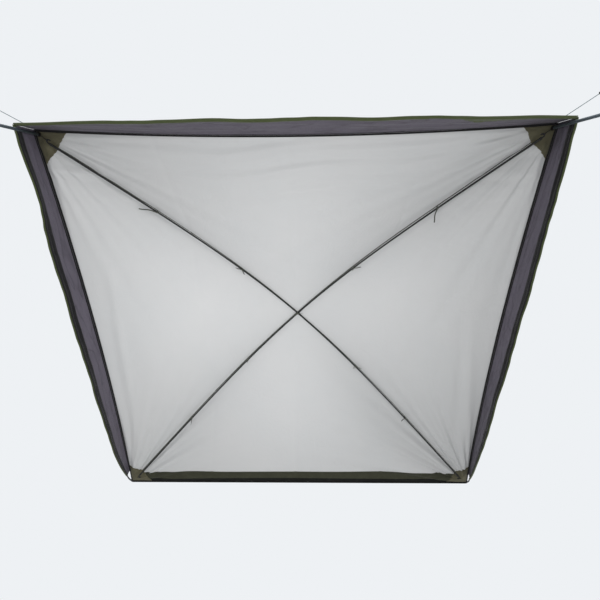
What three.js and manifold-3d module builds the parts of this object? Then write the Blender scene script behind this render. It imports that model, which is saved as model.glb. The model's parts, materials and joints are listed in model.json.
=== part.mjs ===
// A square sun awning, held by the welt along one edge. Two sectional poles cross under a sewn dome of
// four cloth panels, and two telescopic uprights carry the outer corners.
// Millimetres, +Z up, +Y towards the held edge. The origin is the middle of the welt.
import * as THREE from 'three';
import Module from 'manifold-3d';

const wasm = await Module();
wasm.setup();

// Overall sizes
const awningWidth = 2500;
const awningDepth = 2320;
const cornerHeight = 2000;
const canopyRise = 503.5;

// Cloth
const clothThickness = 1.2;
const layerGap = 0.3;
const mitreShift = 0.3;
const frontSeamBow = 44;
const sideSeamBow = 38;
const seamLift = 12;
const panelSag = 35;
const stripDepth = 64;
const flatBorderShare = 0.965;
const ridgeFullnessShare = 0.03;
const sagSkewShare = 1.5;
const seamPullPower = 6;

// Rows of each panel run from the crown to the seam, columns from one diagonal to the other
const bindingWidth = 9;
const bindingThickness = 1.2;
const rowShares = [0, 0.1, 0.22, 0.35, 0.48, 0.6, 0.71, 0.8, 0.87, 0.93, flatBorderShare];
const crossShares = [-1, -0.94, -0.88, -0.7, -0.4, 0, 0.4, 0.7, 0.88, 0.94, 1];

// Valances and their hems
const valanceHeight = 105;
const hemRollDiameter = 13;
const hemRollSides = 7;
const hemNeckShare = 0.055;
const valanceWaveDepth = 2.5;
const valanceWaves = 5;
const waveLeanShare = 0.3;
const cornerStopShare = 0.65;
const foldStep = 100;
const endRise = 80;
const endRiseLength = 420;
const seamClearShare = 0.18;
const leftHemPull = 28;
const rightHemPull = 50;
const hemPullPower = 1.5;
const webbingWidth = 30;
const webbingThickness = 1.5;
const webbingGap = 0.4;
const webbingTopShare = 0.7;
const webbingBends = 4;
const webbingBendShare = 0.07;
const hemTopShare = 1 - hemRollDiameter / valanceHeight;

// Welt and its sleeve
const weltDiameter = 9;
const weltGap = 0.4;
const weltTail = 10;
const sleeveSegments = 12;
const sleeveOpenShare = 0.04;
const sleeveNeck = 7;

// Corner patches and grommets
const patchLeg = 145;
const patchGap = 0.5;
const patchThickness = 1.3;
const cornerInset = 22;
const grommetBore = 10;
const grommetBarrelWall = 1.2;
const grommetFlangeDiameter = 22;
const grommetFlangeThickness = 1.2;
const grommetGap = 0.5;
const roundSides = 12;
const boreSides = 16;

// Cross poles
const poleDiameter = 11;
const poleWall = 1.1;
const poleCrossGap = 0.4;
const poleCrownGap = 8;
const poleTipHeight = -8;
const outerTipInset = 105;
const mountTipInset = 122;
const poleSides = 8;
const sectionShares = [0, 0.243, 0.5, 0.757, 1];
const sectionSpans = 5;
const neckLength = 60;
const neckWall = 1.5;
const fitGap = 0.3;
const shockCordDiameter = 2.6;
const shockCordSides = 6;
const tipPlugLength = 24;
const tipCapDiameter = 12.6;
const tipCapLength = 12;
const hookWireDiameter = 5;
const hookRadius = 8;
const hookShank = 5;
const hookTurnShare = 0.53;
const hookSteps = 8;
const hookSides = 6;
const cornerCordDiameter = 2.4;
const cornerCordBend = 5;
const cordSides = 8;
const cornerCordSides = 6;
const cornerCordStep = 4;
const loopStraightShare = 0.3;

// Ribbon ties: shares of the diagonal, counted from each pole's outer corner
const tieShares = { upper: [0.171, 0.346, 0.5, 0.68, 0.827], lower: [0.167, 0.34, 0.5, 0.657, 0.827] };
const ribbonWidth = 7;
const ribbonThickness = 1;
const tieGap = 0.5;
const tieSides = 8;
const knotSize = 8;
const tailLength = 58;
const tailSpans = 4;
const tailDroopShare = 0.45;
const crownTieRadius = 13.5;

// Uprights
const upperTubeDiameter = 13.5;
const upperTubeLength = 1150;
const lowerTubeDiameter = 17;
const tubeWall = 1.2;
const tubeOverlap = 150;
const spigotPinDiameter = 6;
const spigotPinReach = 28;
const spigotPlugLength = 30;
const spigotShoulderDrop = 6.4;
const spigotShoulderHeight = 5;
const spigotNeckDiameter = 7;
const spigotBallSteps = 4;
const footDiameter = 40;
const footCupDiameter = 24;
const footCupHeight = 35;
const footSoleThickness = 6;
const footFlareHeight = 4;
const footFloor = 8;
const collarDiameter = 26;
const collarHeight = 52;
const collarLap = 20;
const collarLip = 3;
const collarRibs = 8;
const collarRibWidth = 3;
const collarRibDepth = 1.2;
const bushHeight = 26;
const bushDiameter = 20;
const bushSlitShare = 0.06;
const bushSteps = 14;

// Guy lines
const guyDiameter = 3;
const guyStep = 8;
const runnerLength = 36;
const runnerWidth = 14;
const runnerThickness = 9;
const runnerBoreGap = 0.4;

// Derived sizes
const overrun = 4;
const halfWidth = awningWidth / 2;
const halfDepth = awningDepth / 2;
const diagonal = Math.hypot(awningWidth, awningDepth);
const mountLoopInset = (1 - flatBorderShare) * diagonal / 2 + cornerCordBend;
const bindingRowShare = 1 - bindingWidth / halfDepth;
const panelShares = [...rowShares, bindingRowShare, 1];
const edgeShares = [bindingRowShare, 1];
const borderShares = [0.93, flatBorderShare, bindingRowShare, 1];
const patchShares = [0.93, flatBorderShare, bindingRowShare - layerGap / halfDepth];
const cornerCrossShares = [0.88, 0.94, 1];
const sleeveInner = weltDiameter / 2 + weltGap;
const sleeveOuter = sleeveInner + clothThickness;
const poleRadius = poleDiameter / 2;
const poleBoreRadius = poleRadius - poleWall;
const neckRadius = poleBoreRadius - fitGap;
const neckBoreRadius = neckRadius - neckWall;
const upperPoleRise = canopyRise - poleCrownGap - poleRadius;
const lowerPoleRise = upperPoleRise - poleDiameter - poleCrossGap;
const patchUnderside = -patchGap - patchThickness;
const flangeTop = clothThickness + grommetGap + grommetFlangeThickness;
const flangeBottom = patchUnderside - grommetGap - grommetFlangeThickness;
const grommetMiddle = (flangeTop + flangeBottom) / 2;
const spigotShoulder = grommetMiddle - spigotShoulderDrop;
const upperTubeTop = spigotShoulder - spigotShoulderHeight - fitGap;
const upperTubeBottom = upperTubeTop - upperTubeLength;
const lowerTubeTop = upperTubeBottom + tubeOverlap;
const lowerTubeBottom = -cornerHeight + footFloor + fitGap;
const uprightX = halfWidth - cornerInset;
const uprightY = -awningDepth + cornerInset;

// Finishes
const silverCloth = new THREE.MeshStandardMaterial({ color: 0xcfd1d2, roughness: 0.62, metalness: 0.1 });
const oliveCloth = new THREE.MeshStandardMaterial({ color: 0x68743f, roughness: 0.85, metalness: 0 });
const darkCloth = new THREE.MeshStandardMaterial({ color: 0x4a483a, roughness: 0.9, metalness: 0 });
const blackWebbing = new THREE.MeshStandardMaterial({ color: 0x1e1c20, roughness: 0.9, metalness: 0 });
const greyRibbon = new THREE.MeshStandardMaterial({ color: 0x54584f, roughness: 0.85, metalness: 0 });
const blackRod = new THREE.MeshStandardMaterial({ color: 0x242628, roughness: 0.45, metalness: 0 });
const blackPlastic = new THREE.MeshStandardMaterial({ color: 0x151617, roughness: 0.5, metalness: 0 });
const greyAluminium = new THREE.MeshStandardMaterial({ color: 0x8b8d90, roughness: 0.4, metalness: 0.9 });
const brassEyelet = new THREE.MeshStandardMaterial({ color: 0x4e4b45, roughness: 0.45, metalness: 0.8 });
const greyLine = new THREE.MeshStandardMaterial({ color: 0x646d70, roughness: 0.8, metalness: 0 });
const weltCord = new THREE.MeshStandardMaterial({ color: 0x2a2b2c, roughness: 0.7, metalness: 0 });

// Geometry helpers

// Shares each corner point between its triangles, drops empty triangles and points every face outwards.
function closedGeometry(points, triangles) {
  const numberOf = new Map();
  const positions = [];
  const perMillimetre = 1e4;
  const shared = points.map((point) => {
    const key = [point.x, point.y, point.z].map((value) => Math.round(value * perMillimetre)).join();
    if (!numberOf.has(key)) {
      numberOf.set(key, positions.length / 3);
      positions.push(point.x, point.y, point.z);
    }
    return numberOf.get(key);
  });
  const kept = triangles
    .map((triangle) => triangle.map((corner) => shared[corner]))
    .filter(([a, b, c]) => a !== b && b !== c && c !== a);
  const corner = (index) => new THREE.Vector3().fromArray(positions, index * 3);
  let volume = 0;
  for (const [a, b, c] of kept) {
    volume += corner(a).dot(corner(b).cross(corner(c)));
  }
  const outward = volume < 0 ? kept.map(([a, b, c]) => [a, c, b]) : kept;
  const geometry = new THREE.BufferGeometry();
  geometry.setAttribute('position', new THREE.Float32BufferAttribute(positions, 3));
  geometry.setIndex(outward.flat());
  return geometry;
}

function welded(geometry) {
  const place = geometry.getAttribute('position');
  const points = [];
  for (let i = 0; i < place.count; i += 1) {
    points.push(new THREE.Vector3().fromBufferAttribute(place, i));
  }
  const order = geometry.index ? [...geometry.index.array] : points.map((point, i) => i);
  const triangles = [];
  for (let i = 0; i < order.length; i += 3) {
    triangles.push([order[i], order[i + 1], order[i + 2]]);
  }
  return closedGeometry(points, triangles);
}

function toSolid(geometry) {
  const closed = welded(geometry);
  return new wasm.Manifold(new wasm.Mesh({
    numProp: 3,
    vertProperties: new Float32Array(closed.getAttribute('position').array),
    triVerts: new Uint32Array(closed.index.array),
  }));
}

function toGeometry(solid) {
  const mesh = solid.getMesh();
  const geometry = new THREE.BufferGeometry();
  geometry.setAttribute('position', new THREE.Float32BufferAttribute(mesh.vertProperties, 3));
  geometry.setIndex([...mesh.triVerts]);
  return geometry;
}

function joined(...geometries) {
  return toGeometry(geometries.map(toSolid).reduce((sum, solid) => sum.add(solid)));
}

function cut(geometry, ...tools) {
  return toGeometry(tools.map(toSolid).reduce((rest, tool) => rest.subtract(tool), toSolid(geometry)));
}

function common(geometry, tool) {
  return toGeometry(toSolid(geometry).intersect(toSolid(tool)));
}

// A solid through matching closed rings of points. The outline is the ring laid flat, for its two ends.
// The two halves of the ring are split along the same diagonals, so thin walls never cross.
function loft(rings, outline) {
  const count = outline.length;
  const points = rings.flat();
  const triangles = [];
  for (let i = 0; i + 1 < rings.length; i += 1) {
    for (let j = 0; j < count; j += 1) {
      const next = (j + 1) % count;
      const a = i * count + j;
      const b = i * count + next;
      const c = a + count;
      const d = b + count;
      if (j < count / 2) triangles.push([a, c, d], [a, d, b]);
      else triangles.push([a, c, b], [b, c, d]);
    }
  }
  const last = (rings.length - 1) * count;
  const clockwise = THREE.ShapeUtils.isClockWise(outline);
  for (const face of THREE.ShapeUtils.triangulateShape(outline, [])) {
    const faceClockwise = THREE.ShapeUtils.isClockWise(face.map((index) => outline[index]));
    const [a, b, c] = faceClockwise === clockwise ? face : [...face].reverse();
    triangles.push([a, b, c], [last + a, last + c, last + b]);
  }
  return closedGeometry(points, triangles);
}

// A sheet with thickness from a grid of low and high points.
function gridSolid(grid) {
  const rows = grid.length;
  const columns = grid[0].length;
  const low = grid.flat().map((pair) => pair.low);
  const high = grid.flat().map((pair) => pair.high);
  const count = low.length;
  const triangles = [];
  const wall = (b, a) => triangles.push([a, b, b + count], [a, b + count, a + count]);
  for (let i = 0; i + 1 < rows; i += 1) {
    for (let j = 0; j + 1 < columns; j += 1) {
      const a = i * columns + j;
      const b = a + 1;
      const c = a + columns;
      const d = c + 1;
      triangles.push([a, b, d], [a, d, c]);
      triangles.push([a + count, d + count, b + count], [a + count, c + count, d + count]);
    }
    wall((i + 1) * columns, i * columns);
    wall(i * columns + columns - 1, (i + 1) * columns + columns - 1);
  }
  for (let j = 0; j + 1 < columns; j += 1) {
    wall(j, j + 1);
    wall((rows - 1) * columns + j + 1, (rows - 1) * columns + j);
  }
  return closedGeometry([...low, ...high], triangles);
}

function turned(profile, segments) {
  const points = profile.map(([radius, height]) => new THREE.Vector2(radius, height));
  return new THREE.LatheGeometry(points, segments).rotateX(Math.PI / 2);
}

function tubeProfile(inner, outer, bottom, top) {
  return [[inner, bottom], [outer, bottom], [outer, top], [inner, top], [inner, bottom]];
}

function rod(path, diameter, sides, steps) {
  const outline = new THREE.Shape();
  for (let i = 0; i < sides; i += 1) {
    const turn = (i / sides) * 2 * Math.PI;
    const [across, along] = [Math.cos(turn) * diameter / 2, Math.sin(turn) * diameter / 2];
    if (i === 0) outline.moveTo(across, along);
    else outline.lineTo(across, along);
  }
  outline.closePath();
  return new THREE.ExtrudeGeometry(outline, { steps, bevelEnabled: false, extrudePath: path });
}

function box(low, high) {
  const size = high.map((value, i) => value - low[i]);
  const middle = high.map((value, i) => (value + low[i]) / 2);
  return new THREE.BoxGeometry(...size).translate(...middle);
}

function standingRod(x, y, bottom, top, radius, sides) {
  return new THREE.CylinderGeometry(radius, radius, top - bottom, sides)
    .rotateX(Math.PI / 2).translate(x, y, (top + bottom) / 2);
}

function prism(corners, bottom, top) {
  const outline = new THREE.Shape(corners.map(([x, y]) => new THREE.Vector2(x, y)));
  return new THREE.ExtrudeGeometry(outline, { depth: top - bottom, bevelEnabled: false })
    .translate(0, 0, bottom);
}

// The dome: four panels that meet on the diagonals

const sides = {
  front: { out: [0, -1], reach: halfDepth, half: halfWidth, bow: frontSeamBow, lift: seamLift, pull: 0 },
  right: {
    out: [1, 0], reach: halfWidth, half: halfDepth, bow: sideSeamBow, lift: seamLift, pull: rightHemPull,
  },
  mount: { out: [0, 1], reach: halfDepth, half: halfWidth, bow: 0, lift: 0, pull: 0 },
  left: {
    out: [-1, 0], reach: halfWidth, half: halfDepth, bow: sideSeamBow, lift: seamLift, pull: leftHemPull,
  },
};

function ridgeHeight(share) {
  const turn = Math.min(share / flatBorderShare, 1) * Math.PI / 2;
  return canopyRise * (Math.cos(turn) + ridgeFullnessShare * Math.sin(2 * turn) ** 2);
}

// A point on the underside of a panel. share runs from the crown to the seam, cross along the seam.
function clothPoint(side, share, cross, rise = 0, shift = 0) {
  const { out, reach, half, bow, lift } = sides[side];
  const slack = 1 - cross * cross;
  const pull = share ** seamPullPower;
  const outward = share * reach - bow * slack * pull + shift;
  const along = share * half * cross;
  const innerShare = Math.min(share / flatBorderShare, 1);
  const sag = panelSag * Math.sin(Math.PI * innerShare ** sagSkewShare);
  return new THREE.Vector3(
    out[0] * outward - out[1] * along,
    -halfDepth + out[1] * outward + out[0] * along,
    ridgeHeight(share) + slack * (lift * pull - sag) + rise,
  );
}

function panelShell(side, shares, crosses, below, above, shift = 0) {
  return gridSolid(shares.map((share) => crosses.map((cross) => ({
    low: clothPoint(side, share, cross, below, shift),
    high: clothPoint(side, share, cross, above, shift),
  }))));
}

const grommetHole = grommetBore / 2 + grommetBarrelWall + layerGap;

function grommetHoles() {
  return [-uprightX, uprightX].map((x) => (
    standingRod(x, uprightY, patchUnderside - overrun, clothThickness + overrun, grommetHole, boreSides)));
}

function panel(side) {
  const shell = panelShell(side, panelShares, crossShares, 0, clothThickness, mitreShift);
  const behindStrip = box([-awningWidth, -stripDepth, -overrun], [awningWidth, awningDepth, canopyRise]);
  const tools = side === 'front' ? grommetHoles() : [behindStrip];
  if (side === 'left' || side === 'right') tools.push(...grommetHoles());
  return cut(shell, ...tools);
}

// Sleeve of the strip round the welt: an open ring with a short neck, extruded along the edge
function weltSleeve() {
  const outline = new THREE.Shape();
  const neckTurn = Math.PI - Math.asin(clothThickness / sleeveOuter);
  const endTurn = -Math.PI + 2 * Math.PI * sleeveOpenShare;
  outline.moveTo(-sleeveOuter - sleeveNeck, clothThickness);
  for (let i = 0; i <= sleeveSegments; i += 1) {
    const turn = neckTurn + (endTurn - neckTurn) * i / sleeveSegments;
    outline.lineTo(Math.cos(turn) * sleeveOuter, Math.sin(turn) * sleeveOuter);
  }
  for (let i = sleeveSegments; i >= 0; i -= 1) {
    const turn = Math.PI + (endTurn - Math.PI) * i / sleeveSegments;
    outline.lineTo(Math.cos(turn) * sleeveInner, Math.sin(turn) * sleeveInner);
  }
  outline.lineTo(-sleeveOuter - sleeveNeck, 0);
  outline.closePath();
  const length = awningWidth - 2 * weltTail;
  return new THREE.ExtrudeGeometry(outline, { depth: length, bevelEnabled: false })
    .rotateX(Math.PI / 2).rotateZ(Math.PI / 2).translate(-length / 2, 0, 0);
}

function mountStrip() {
  const edgeCross = cornerCrossShares.map((cross) => -cross).reverse();
  const shells = [
    panelShell('mount', borderShares, crossShares, 0, clothThickness),
    panelShell('left', borderShares, edgeCross, 0, clothThickness),
    panelShell('right', borderShares, cornerCrossShares, 0, clothThickness),
  ];
  const sheet = common(joined(...shells), box(
    [-awningWidth, layerGap - stripDepth, -overrun],
    [awningWidth, -sleeveInner - clothThickness, canopyRise],
  ));
  return joined(sheet, weltSleeve());
}

// Valances

// Place along the seam in straight stretches between the panel's columns, as the panel's edge has them.
function seamPoint(side, cross) {
  const next = Math.max(1, crossShares.findIndex((share) => share >= cross));
  const [from, to] = [crossShares[next - 1], crossShares[next]];
  return clothPoint(side, 1, from).lerp(clothPoint(side, 1, to), (cross - from) / (to - from));
}

function mountDistance(side, cross) {
  if (side === 'front') return awningDepth;
  return halfDepth * (1 - (side === 'right' ? cross : -cross));
}

function dropAt(side, cross) {
  const near = Math.max(0, 1 - mountDistance(side, cross) / endRiseLength);
  return valanceHeight - endRise * near * near;
}

// How far a hem is pulled in, more towards the held edge
function hemPullAt(side, cross, share) {
  const near = 1 - mountDistance(side, cross) / awningDepth;
  const low = Math.max(0, share - seamClearShare) / (1 - seamClearShare);
  const fullness = dropAt(side, cross) / valanceHeight;
  return sides[side].pull * near ** hemPullPower * low * fullness;
}

// A point on a valance: share of the drop below the seam, and distance outwards from the seam's face.
function valancePoint(side, cross, share, outward) {
  const { out, bow } = sides[side];
  const seam = seamPoint(side, cross);
  const slack = 1 - cross * cross;
  const drop = dropAt(side, cross);
  const phase = cross * valanceWaves * Math.PI + share * waveLeanShare;
  const wave = valanceWaveDepth * Math.sin(phase) * Math.sqrt(slack) * share;
  const away = outward + bow * slack * share + wave - hemPullAt(side, cross, share);
  const height = THREE.MathUtils.lerp(seam.z + clothThickness, -drop, share);
  return new THREE.Vector3(seam.x + out[0] * away, seam.y + out[1] * away, height);
}

function stations(side) {
  const list = [crossShares[0]];
  for (let i = 1; i < crossShares.length; i += 1) {
    const span = crossShares[i] - crossShares[i - 1];
    const parts = Math.max(1, Math.round(span * sides[side].half / foldStep));
    for (let k = 1; k <= parts; k += 1) {
      list.push(crossShares[i - 1] + span * k / parts);
    }
  }
  const corner = 1 - hemRollDiameter * cornerStopShare / sides[side].half;
  const mount = 1 - (sleeveOuter + overrun) / halfDepth;
  const lowest = side === 'left' ? -mount : -corner;
  const highest = side === 'right' ? mount : corner;
  return list.map((cross) => THREE.MathUtils.clamp(cross, lowest, highest));
}

function valance(side) {
  const inner = layerGap;
  const outer = layerGap + clothThickness;
  const middle = (inner + outer) / 2;
  const rollShare = hemRollDiameter / valanceHeight;
  const profile = [0, seamClearShare, webbingTopShare, hemTopShare].map((share) => [share, inner]);
  for (let i = 0; i < hemRollSides; i += 1) {
    const turn = 2 * Math.PI * (hemNeckShare + (1 - 2 * hemNeckShare) * i / (hemRollSides - 1));
    const share = 1 - rollShare * (1 + Math.cos(turn)) / 2;
    profile.push([share, middle - Math.sin(turn) * hemRollDiameter / 2]);
  }
  for (const share of [hemTopShare, webbingTopShare, seamClearShare, 0]) {
    profile.push([share, outer]);
  }
  const rings = stations(side).map((cross) => (
    profile.map(([share, away]) => valancePoint(side, cross, share, away))));
  const mountEnd = side === 'left' ? rings[0] : rings.at(-1);
  const { out } = sides[side];
  const outline = mountEnd.map(({ x, y, z }) => new THREE.Vector2(x * out[0] + y * out[1], z));
  return loft(rings, outline);
}

// One face of the webbing: down the valance, then round the inner side of the hem's roll
function webbingFace(depth) {
  const away = webbingGap + depth;
  const inner = layerGap - away;
  const middle = layerGap + clothThickness / 2;
  const rollRadius = hemRollDiameter / 2;
  const drop = (hemTopShare - webbingTopShare) * valanceHeight;
  const bottomShare = hemTopShare - away / valanceHeight;
  const first = 2 * Math.PI * webbingBendShare;
  const last = first + (webbingWidth - drop) / rollRadius;
  const bends = Array.from({ length: webbingBends + 1 }, (value, i) => {
    const turn = first + (last - first) * i / webbingBends;
    const below = rollRadius + Math.cos(turn) * (rollRadius + away);
    return [1 - below / valanceHeight, middle - Math.sin(turn) * (rollRadius + away)];
  });
  return [[webbingTopShare, inner], [bottomShare, inner], ...bends];
}

function hemWebbing(side) {
  const profile = [...webbingFace(0), ...webbingFace(webbingThickness).reverse()];
  const outline = profile.map(([share, away]) => new THREE.Vector2(away, -share * valanceHeight));
  const rings = stations(side)
    .filter((cross) => awningDepth - mountDistance(side, cross) > cornerInset)
    .map((cross) => profile.map(([share, away]) => valancePoint(side, cross, share, away)));
  return loft(rings, outline);
}

function besideSleeve() {
  const edge = -sleeveOuter - layerGap;
  return box([-awningWidth, edge, -awningWidth], [awningWidth, awningDepth, awningWidth]);
}

function seamBinding() {
  const below = -layerGap - bindingThickness;
  const shells = ['left', 'front', 'right']
    .map((side) => panelShell(side, edgeShares, crossShares, below, -layerGap));
  return cut(joined(...shells), besideSleeve());
}

// Corner patches, grommets and cords

function cornerOutline(left, front) {
  const x = left ? -1 : 1;
  const edge = front ? -awningDepth : 0;
  const reach = front ? -awningDepth + patchLeg : -patchLeg;
  return [[x * halfWidth, edge], [x * (halfWidth - patchLeg), edge], [x * halfWidth, reach]];
}

function patchSheet(left, front) {
  const side = left ? 'left' : 'right';
  const flipped = cornerCrossShares.map((cross) => -cross).reverse();
  const across = left === front ? flipped : cornerCrossShares;
  const beside = left === front ? cornerCrossShares : flipped;
  const shells = [
    panelShell(front ? 'front' : 'mount', patchShares, across, patchUnderside, -patchGap),
    panelShell(side, patchShares, beside, patchUnderside, -patchGap),
  ];
  return common(joined(...shells), prism(cornerOutline(left, front), -awningWidth, awningWidth));
}

function grommet(x) {
  const bore = grommetBore / 2;
  const barrel = bore + grommetBarrelWall;
  const flange = grommetFlangeDiameter / 2;
  const low = flangeBottom + grommetFlangeThickness;
  const high = flangeTop - grommetFlangeThickness;
  return turned([
    [bore, flangeBottom], [flange, flangeBottom], [flange, low], [barrel, low],
    [barrel, high], [flange, high], [flange, flangeTop], [bore, flangeTop], [bore, flangeBottom],
  ], boreSides).translate(x, uprightY, 0);
}

// Cross poles

const poles = {
  upper: { sign: 1, rise: upperPoleRise },
  lower: { sign: -1, rise: lowerPoleRise },
};

const poleChord = diagonal - outerTipInset - mountTipInset;

// Place on a pole's axis at a distance over the ground from the outer corner, with its own directions.
function poleFrame(pole, distance) {
  const { sign, rise } = poles[pole];
  const direction = new THREE.Vector3(sign * awningWidth, awningDepth, 0).normalize();
  const height = rise - poleTipHeight;
  const turn = Math.PI * (distance - outerTipInset - poleChord / 2) / poleChord;
  const slope = -height * Math.sin(turn) * Math.PI / poleChord;
  const along = direction.clone().setZ(slope).normalize();
  const across = new THREE.Vector3(-direction.y, direction.x, 0);
  const up = new THREE.Vector3().crossVectors(along, across);
  const place = new THREE.Vector3(-sign * halfWidth, -awningDepth, poleTipHeight + height * Math.cos(turn))
    .addScaledVector(direction, distance);
  return { place, along, across, up };
}

function poleRing(pole, distance, radius, count) {
  const { place, across, up } = poleFrame(pole, distance);
  return Array.from({ length: count }, (value, i) => {
    const turn = (i / count) * 2 * Math.PI;
    return place.clone()
      .addScaledVector(across, Math.cos(turn) * radius)
      .addScaledVector(up, Math.sin(turn) * radius);
  });
}

// Distances of the pole's rings: each section starts with the stretch that takes the neck before it.
function sectionStops(index) {
  const start = outerTipInset + sectionShares[index] * poleChord;
  const end = outerTipInset + sectionShares[index + 1] * poleChord;
  const first = start + neckLength;
  const spans = Array.from({ length: sectionSpans + 1 }, (value, i) => (
    first + (end - first - fitGap) * i / sectionSpans));
  return [start, ...spans];
}

// A hollow bent tube from rings that go out along the outside and back along the bore.
function bentTube(pole, profile) {
  const rings = profile.map(([distance, radius]) => poleRing(pole, distance, radius, poleSides));
  const triangles = [];
  for (let i = 0; i < rings.length; i += 1) {
    for (let j = 0; j < poleSides; j += 1) {
      const a = i * poleSides + j;
      const b = i * poleSides + (j + 1) % poleSides;
      const c = ((i + 1) % rings.length) * poleSides + j;
      const d = ((i + 1) % rings.length) * poleSides + (j + 1) % poleSides;
      triangles.push([a, c, d], [a, d, b]);
    }
  }
  return closedGeometry(rings.flat(), triangles);
}

function poleSection(pole, index) {
  const stops = sectionStops(index);
  const end = stops.at(-1);
  const outside = stops.map((distance) => [distance, poleRadius]);
  if (index === sectionShares.length - 2) {
    const bore = [...stops].reverse().map((distance) => [distance, poleBoreRadius]);
    return bentTube(pole, [...outside, ...bore]);
  }
  const neckEnd = end + neckLength;
  const throat = [...stops].reverse().slice(1).map((distance) => [distance, poleBoreRadius]);
  const neck = [[end, neckRadius], [neckEnd, neckRadius], [neckEnd, neckBoreRadius]];
  return bentTube(pole, [...outside, ...neck, [end - neckLength / 2, neckBoreRadius], ...throat]);
}

function shockCord(pole) {
  const stops = sectionShares.slice(1).flatMap((share, index) => sectionStops(index));
  const inside = stops.slice(1, -1);
  const first = outerTipInset + tipPlugLength + fitGap;
  const last = outerTipInset + poleChord - tipPlugLength - overrun;
  const radius = shockCordDiameter / 2;
  const distances = [first, ...inside, last];
  const outline = Array.from({ length: shockCordSides }, (value, i) => {
    const turn = (i / shockCordSides) * 2 * Math.PI;
    return new THREE.Vector2(Math.cos(turn) * radius, Math.sin(turn) * radius);
  });
  const rings = distances.map((distance) => poleRing(pole, distance, radius, shockCordSides));
  return loft(rings, outline);
}

function placed(geometry, frame, turnAround = false) {
  const along = frame.along.clone().multiplyScalar(turnAround ? -1 : 1);
  const across = frame.across.clone().multiplyScalar(turnAround ? -1 : 1);
  const matrix = new THREE.Matrix4().makeBasis(along, across, frame.up).setPosition(frame.place);
  return geometry.applyMatrix4(matrix);
}

function hookPath() {
  const path = new THREE.CurvePath();
  const start = tipCapLength - fitGap;
  const centre = tipCapLength + hookShank;
  path.add(new THREE.LineCurve3(new THREE.Vector3(start, 0, 0), new THREE.Vector3(centre, 0, 0)));
  const bend = Array.from({ length: hookSteps + 1 }, (value, i) => {
    const turn = -Math.PI / 2 + 2 * Math.PI * hookTurnShare * i / hookSteps;
    const sideways = centre + hookRadius * Math.cos(turn);
    return new THREE.Vector3(sideways, 0, hookRadius + hookRadius * Math.sin(turn));
  });
  path.add(new THREE.CatmullRomCurve3(bend));
  return path;
}

// End fitting of a pole: plug in the bore, cap on the end and an upturned wire hook
function poleTip(pole, atMount) {
  const end = atMount ? outerTipInset + poleChord - fitGap : outerTipInset;
  const frame = poleFrame(pole, end);
  const lieAlong = (geometry) => geometry.rotateZ(-Math.PI / 2);
  const plug = turned([[0, 0], [neckRadius, 0], [neckRadius, tipPlugLength], [0, tipPlugLength]], poleSides)
    .rotateX(-Math.PI / 2).rotateZ(Math.PI / 2).translate(fitGap + overrun / 2, 0, 0);
  const capRadius = tipCapDiameter / 2;
  const cap = lieAlong(new THREE.CylinderGeometry(capRadius, capRadius, tipCapLength - fitGap, roundSides))
    .translate((tipCapLength + fitGap) / 2, 0, 0);
  const hook = rod(hookPath(), hookWireDiameter, hookSides, hookSteps * 2);
  return placed(joined(plug, cap, hook), frame, !atMount);
}

// Middle of the hook's bend, where the loop from the corner sits
function hookCentre(pole, atMount) {
  const frame = poleFrame(pole, atMount ? outerTipInset + poleChord - fitGap : outerTipInset);
  const onward = (atMount ? 1 : -1) * (tipCapLength + hookShank);
  return frame.place.clone().addScaledVector(frame.along, onward).addScaledVector(frame.up, hookRadius);
}

// A loop of cord: its bight lies in the hook and its two ends reach the patch.
function hookLoop(pole, atMount, end) {
  const start = hookCentre(pole, atMount);
  const away = end.clone().sub(start).setZ(0).normalize();
  const across = new THREE.Vector3(-away.y, away.x, 0);
  const bight = hookRadius - hookWireDiameter / 2 - cornerCordDiameter / 2 - fitGap;
  const at = (onward, sideways, share) => start.clone().lerp(end, share)
    .setX(start.x).setY(start.y)
    .addScaledVector(away, onward).addScaledVector(across, sideways);
  const reach = end.clone().sub(start).setZ(0).length();
  const tight = Math.SQRT1_2;
  const points = [
    at(reach, cornerCordBend, 1),
    at(bight + cornerCordBend * 2, cornerCordBend, loopStraightShare),
    at(bight + cornerCordBend, cornerCordBend, 0),
    at(bight + cornerCordBend * (1 - tight), cornerCordBend * tight, 0),
    at(bight, 0, 0),
    at(bight + cornerCordBend * (1 - tight), -cornerCordBend * tight, 0),
    at(bight + cornerCordBend, -cornerCordBend, 0),
    at(bight + cornerCordBend * 2, -cornerCordBend, loopStraightShare),
    at(reach, -cornerCordBend, 1),
  ];
  const path = new THREE.CatmullRomCurve3(points);
  return rod(path, cornerCordDiameter, cornerCordSides, Math.round(path.getLength() / cornerCordStep));
}

function cornerCord(left) {
  const pole = left ? 'upper' : 'lower';
  const x = left ? -uprightX : uprightX;
  const centre = hookCentre(pole, false);
  const inward = new THREE.Vector3(centre.x - x, centre.y - uprightY, 0).normalize();
  const reach = grommetFlangeDiameter / 2 + cornerCordDiameter + fitGap;
  const end = new THREE.Vector3(x, uprightY, patchUnderside - cornerCordDiameter / 2 - fitGap)
    .addScaledVector(inward, reach);
  return hookLoop(pole, false, end);
}

function cornerPatch(left, front) {
  const sheet = patchSheet(left, front);
  if (front) return cut(sheet, ...grommetHoles());
  const pole = left ? 'lower' : 'upper';
  const centre = hookCentre(pole, true);
  const corner = new THREE.Vector3(left ? -halfWidth : halfWidth, 0, 0);
  const inward = centre.clone().sub(corner).setZ(0).normalize();
  const end = corner.addScaledVector(inward, mountLoopInset).setZ(patchUnderside + patchThickness / 2);
  return joined(sheet, hookLoop(pole, true, end));
}

// Ribbon ties

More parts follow.
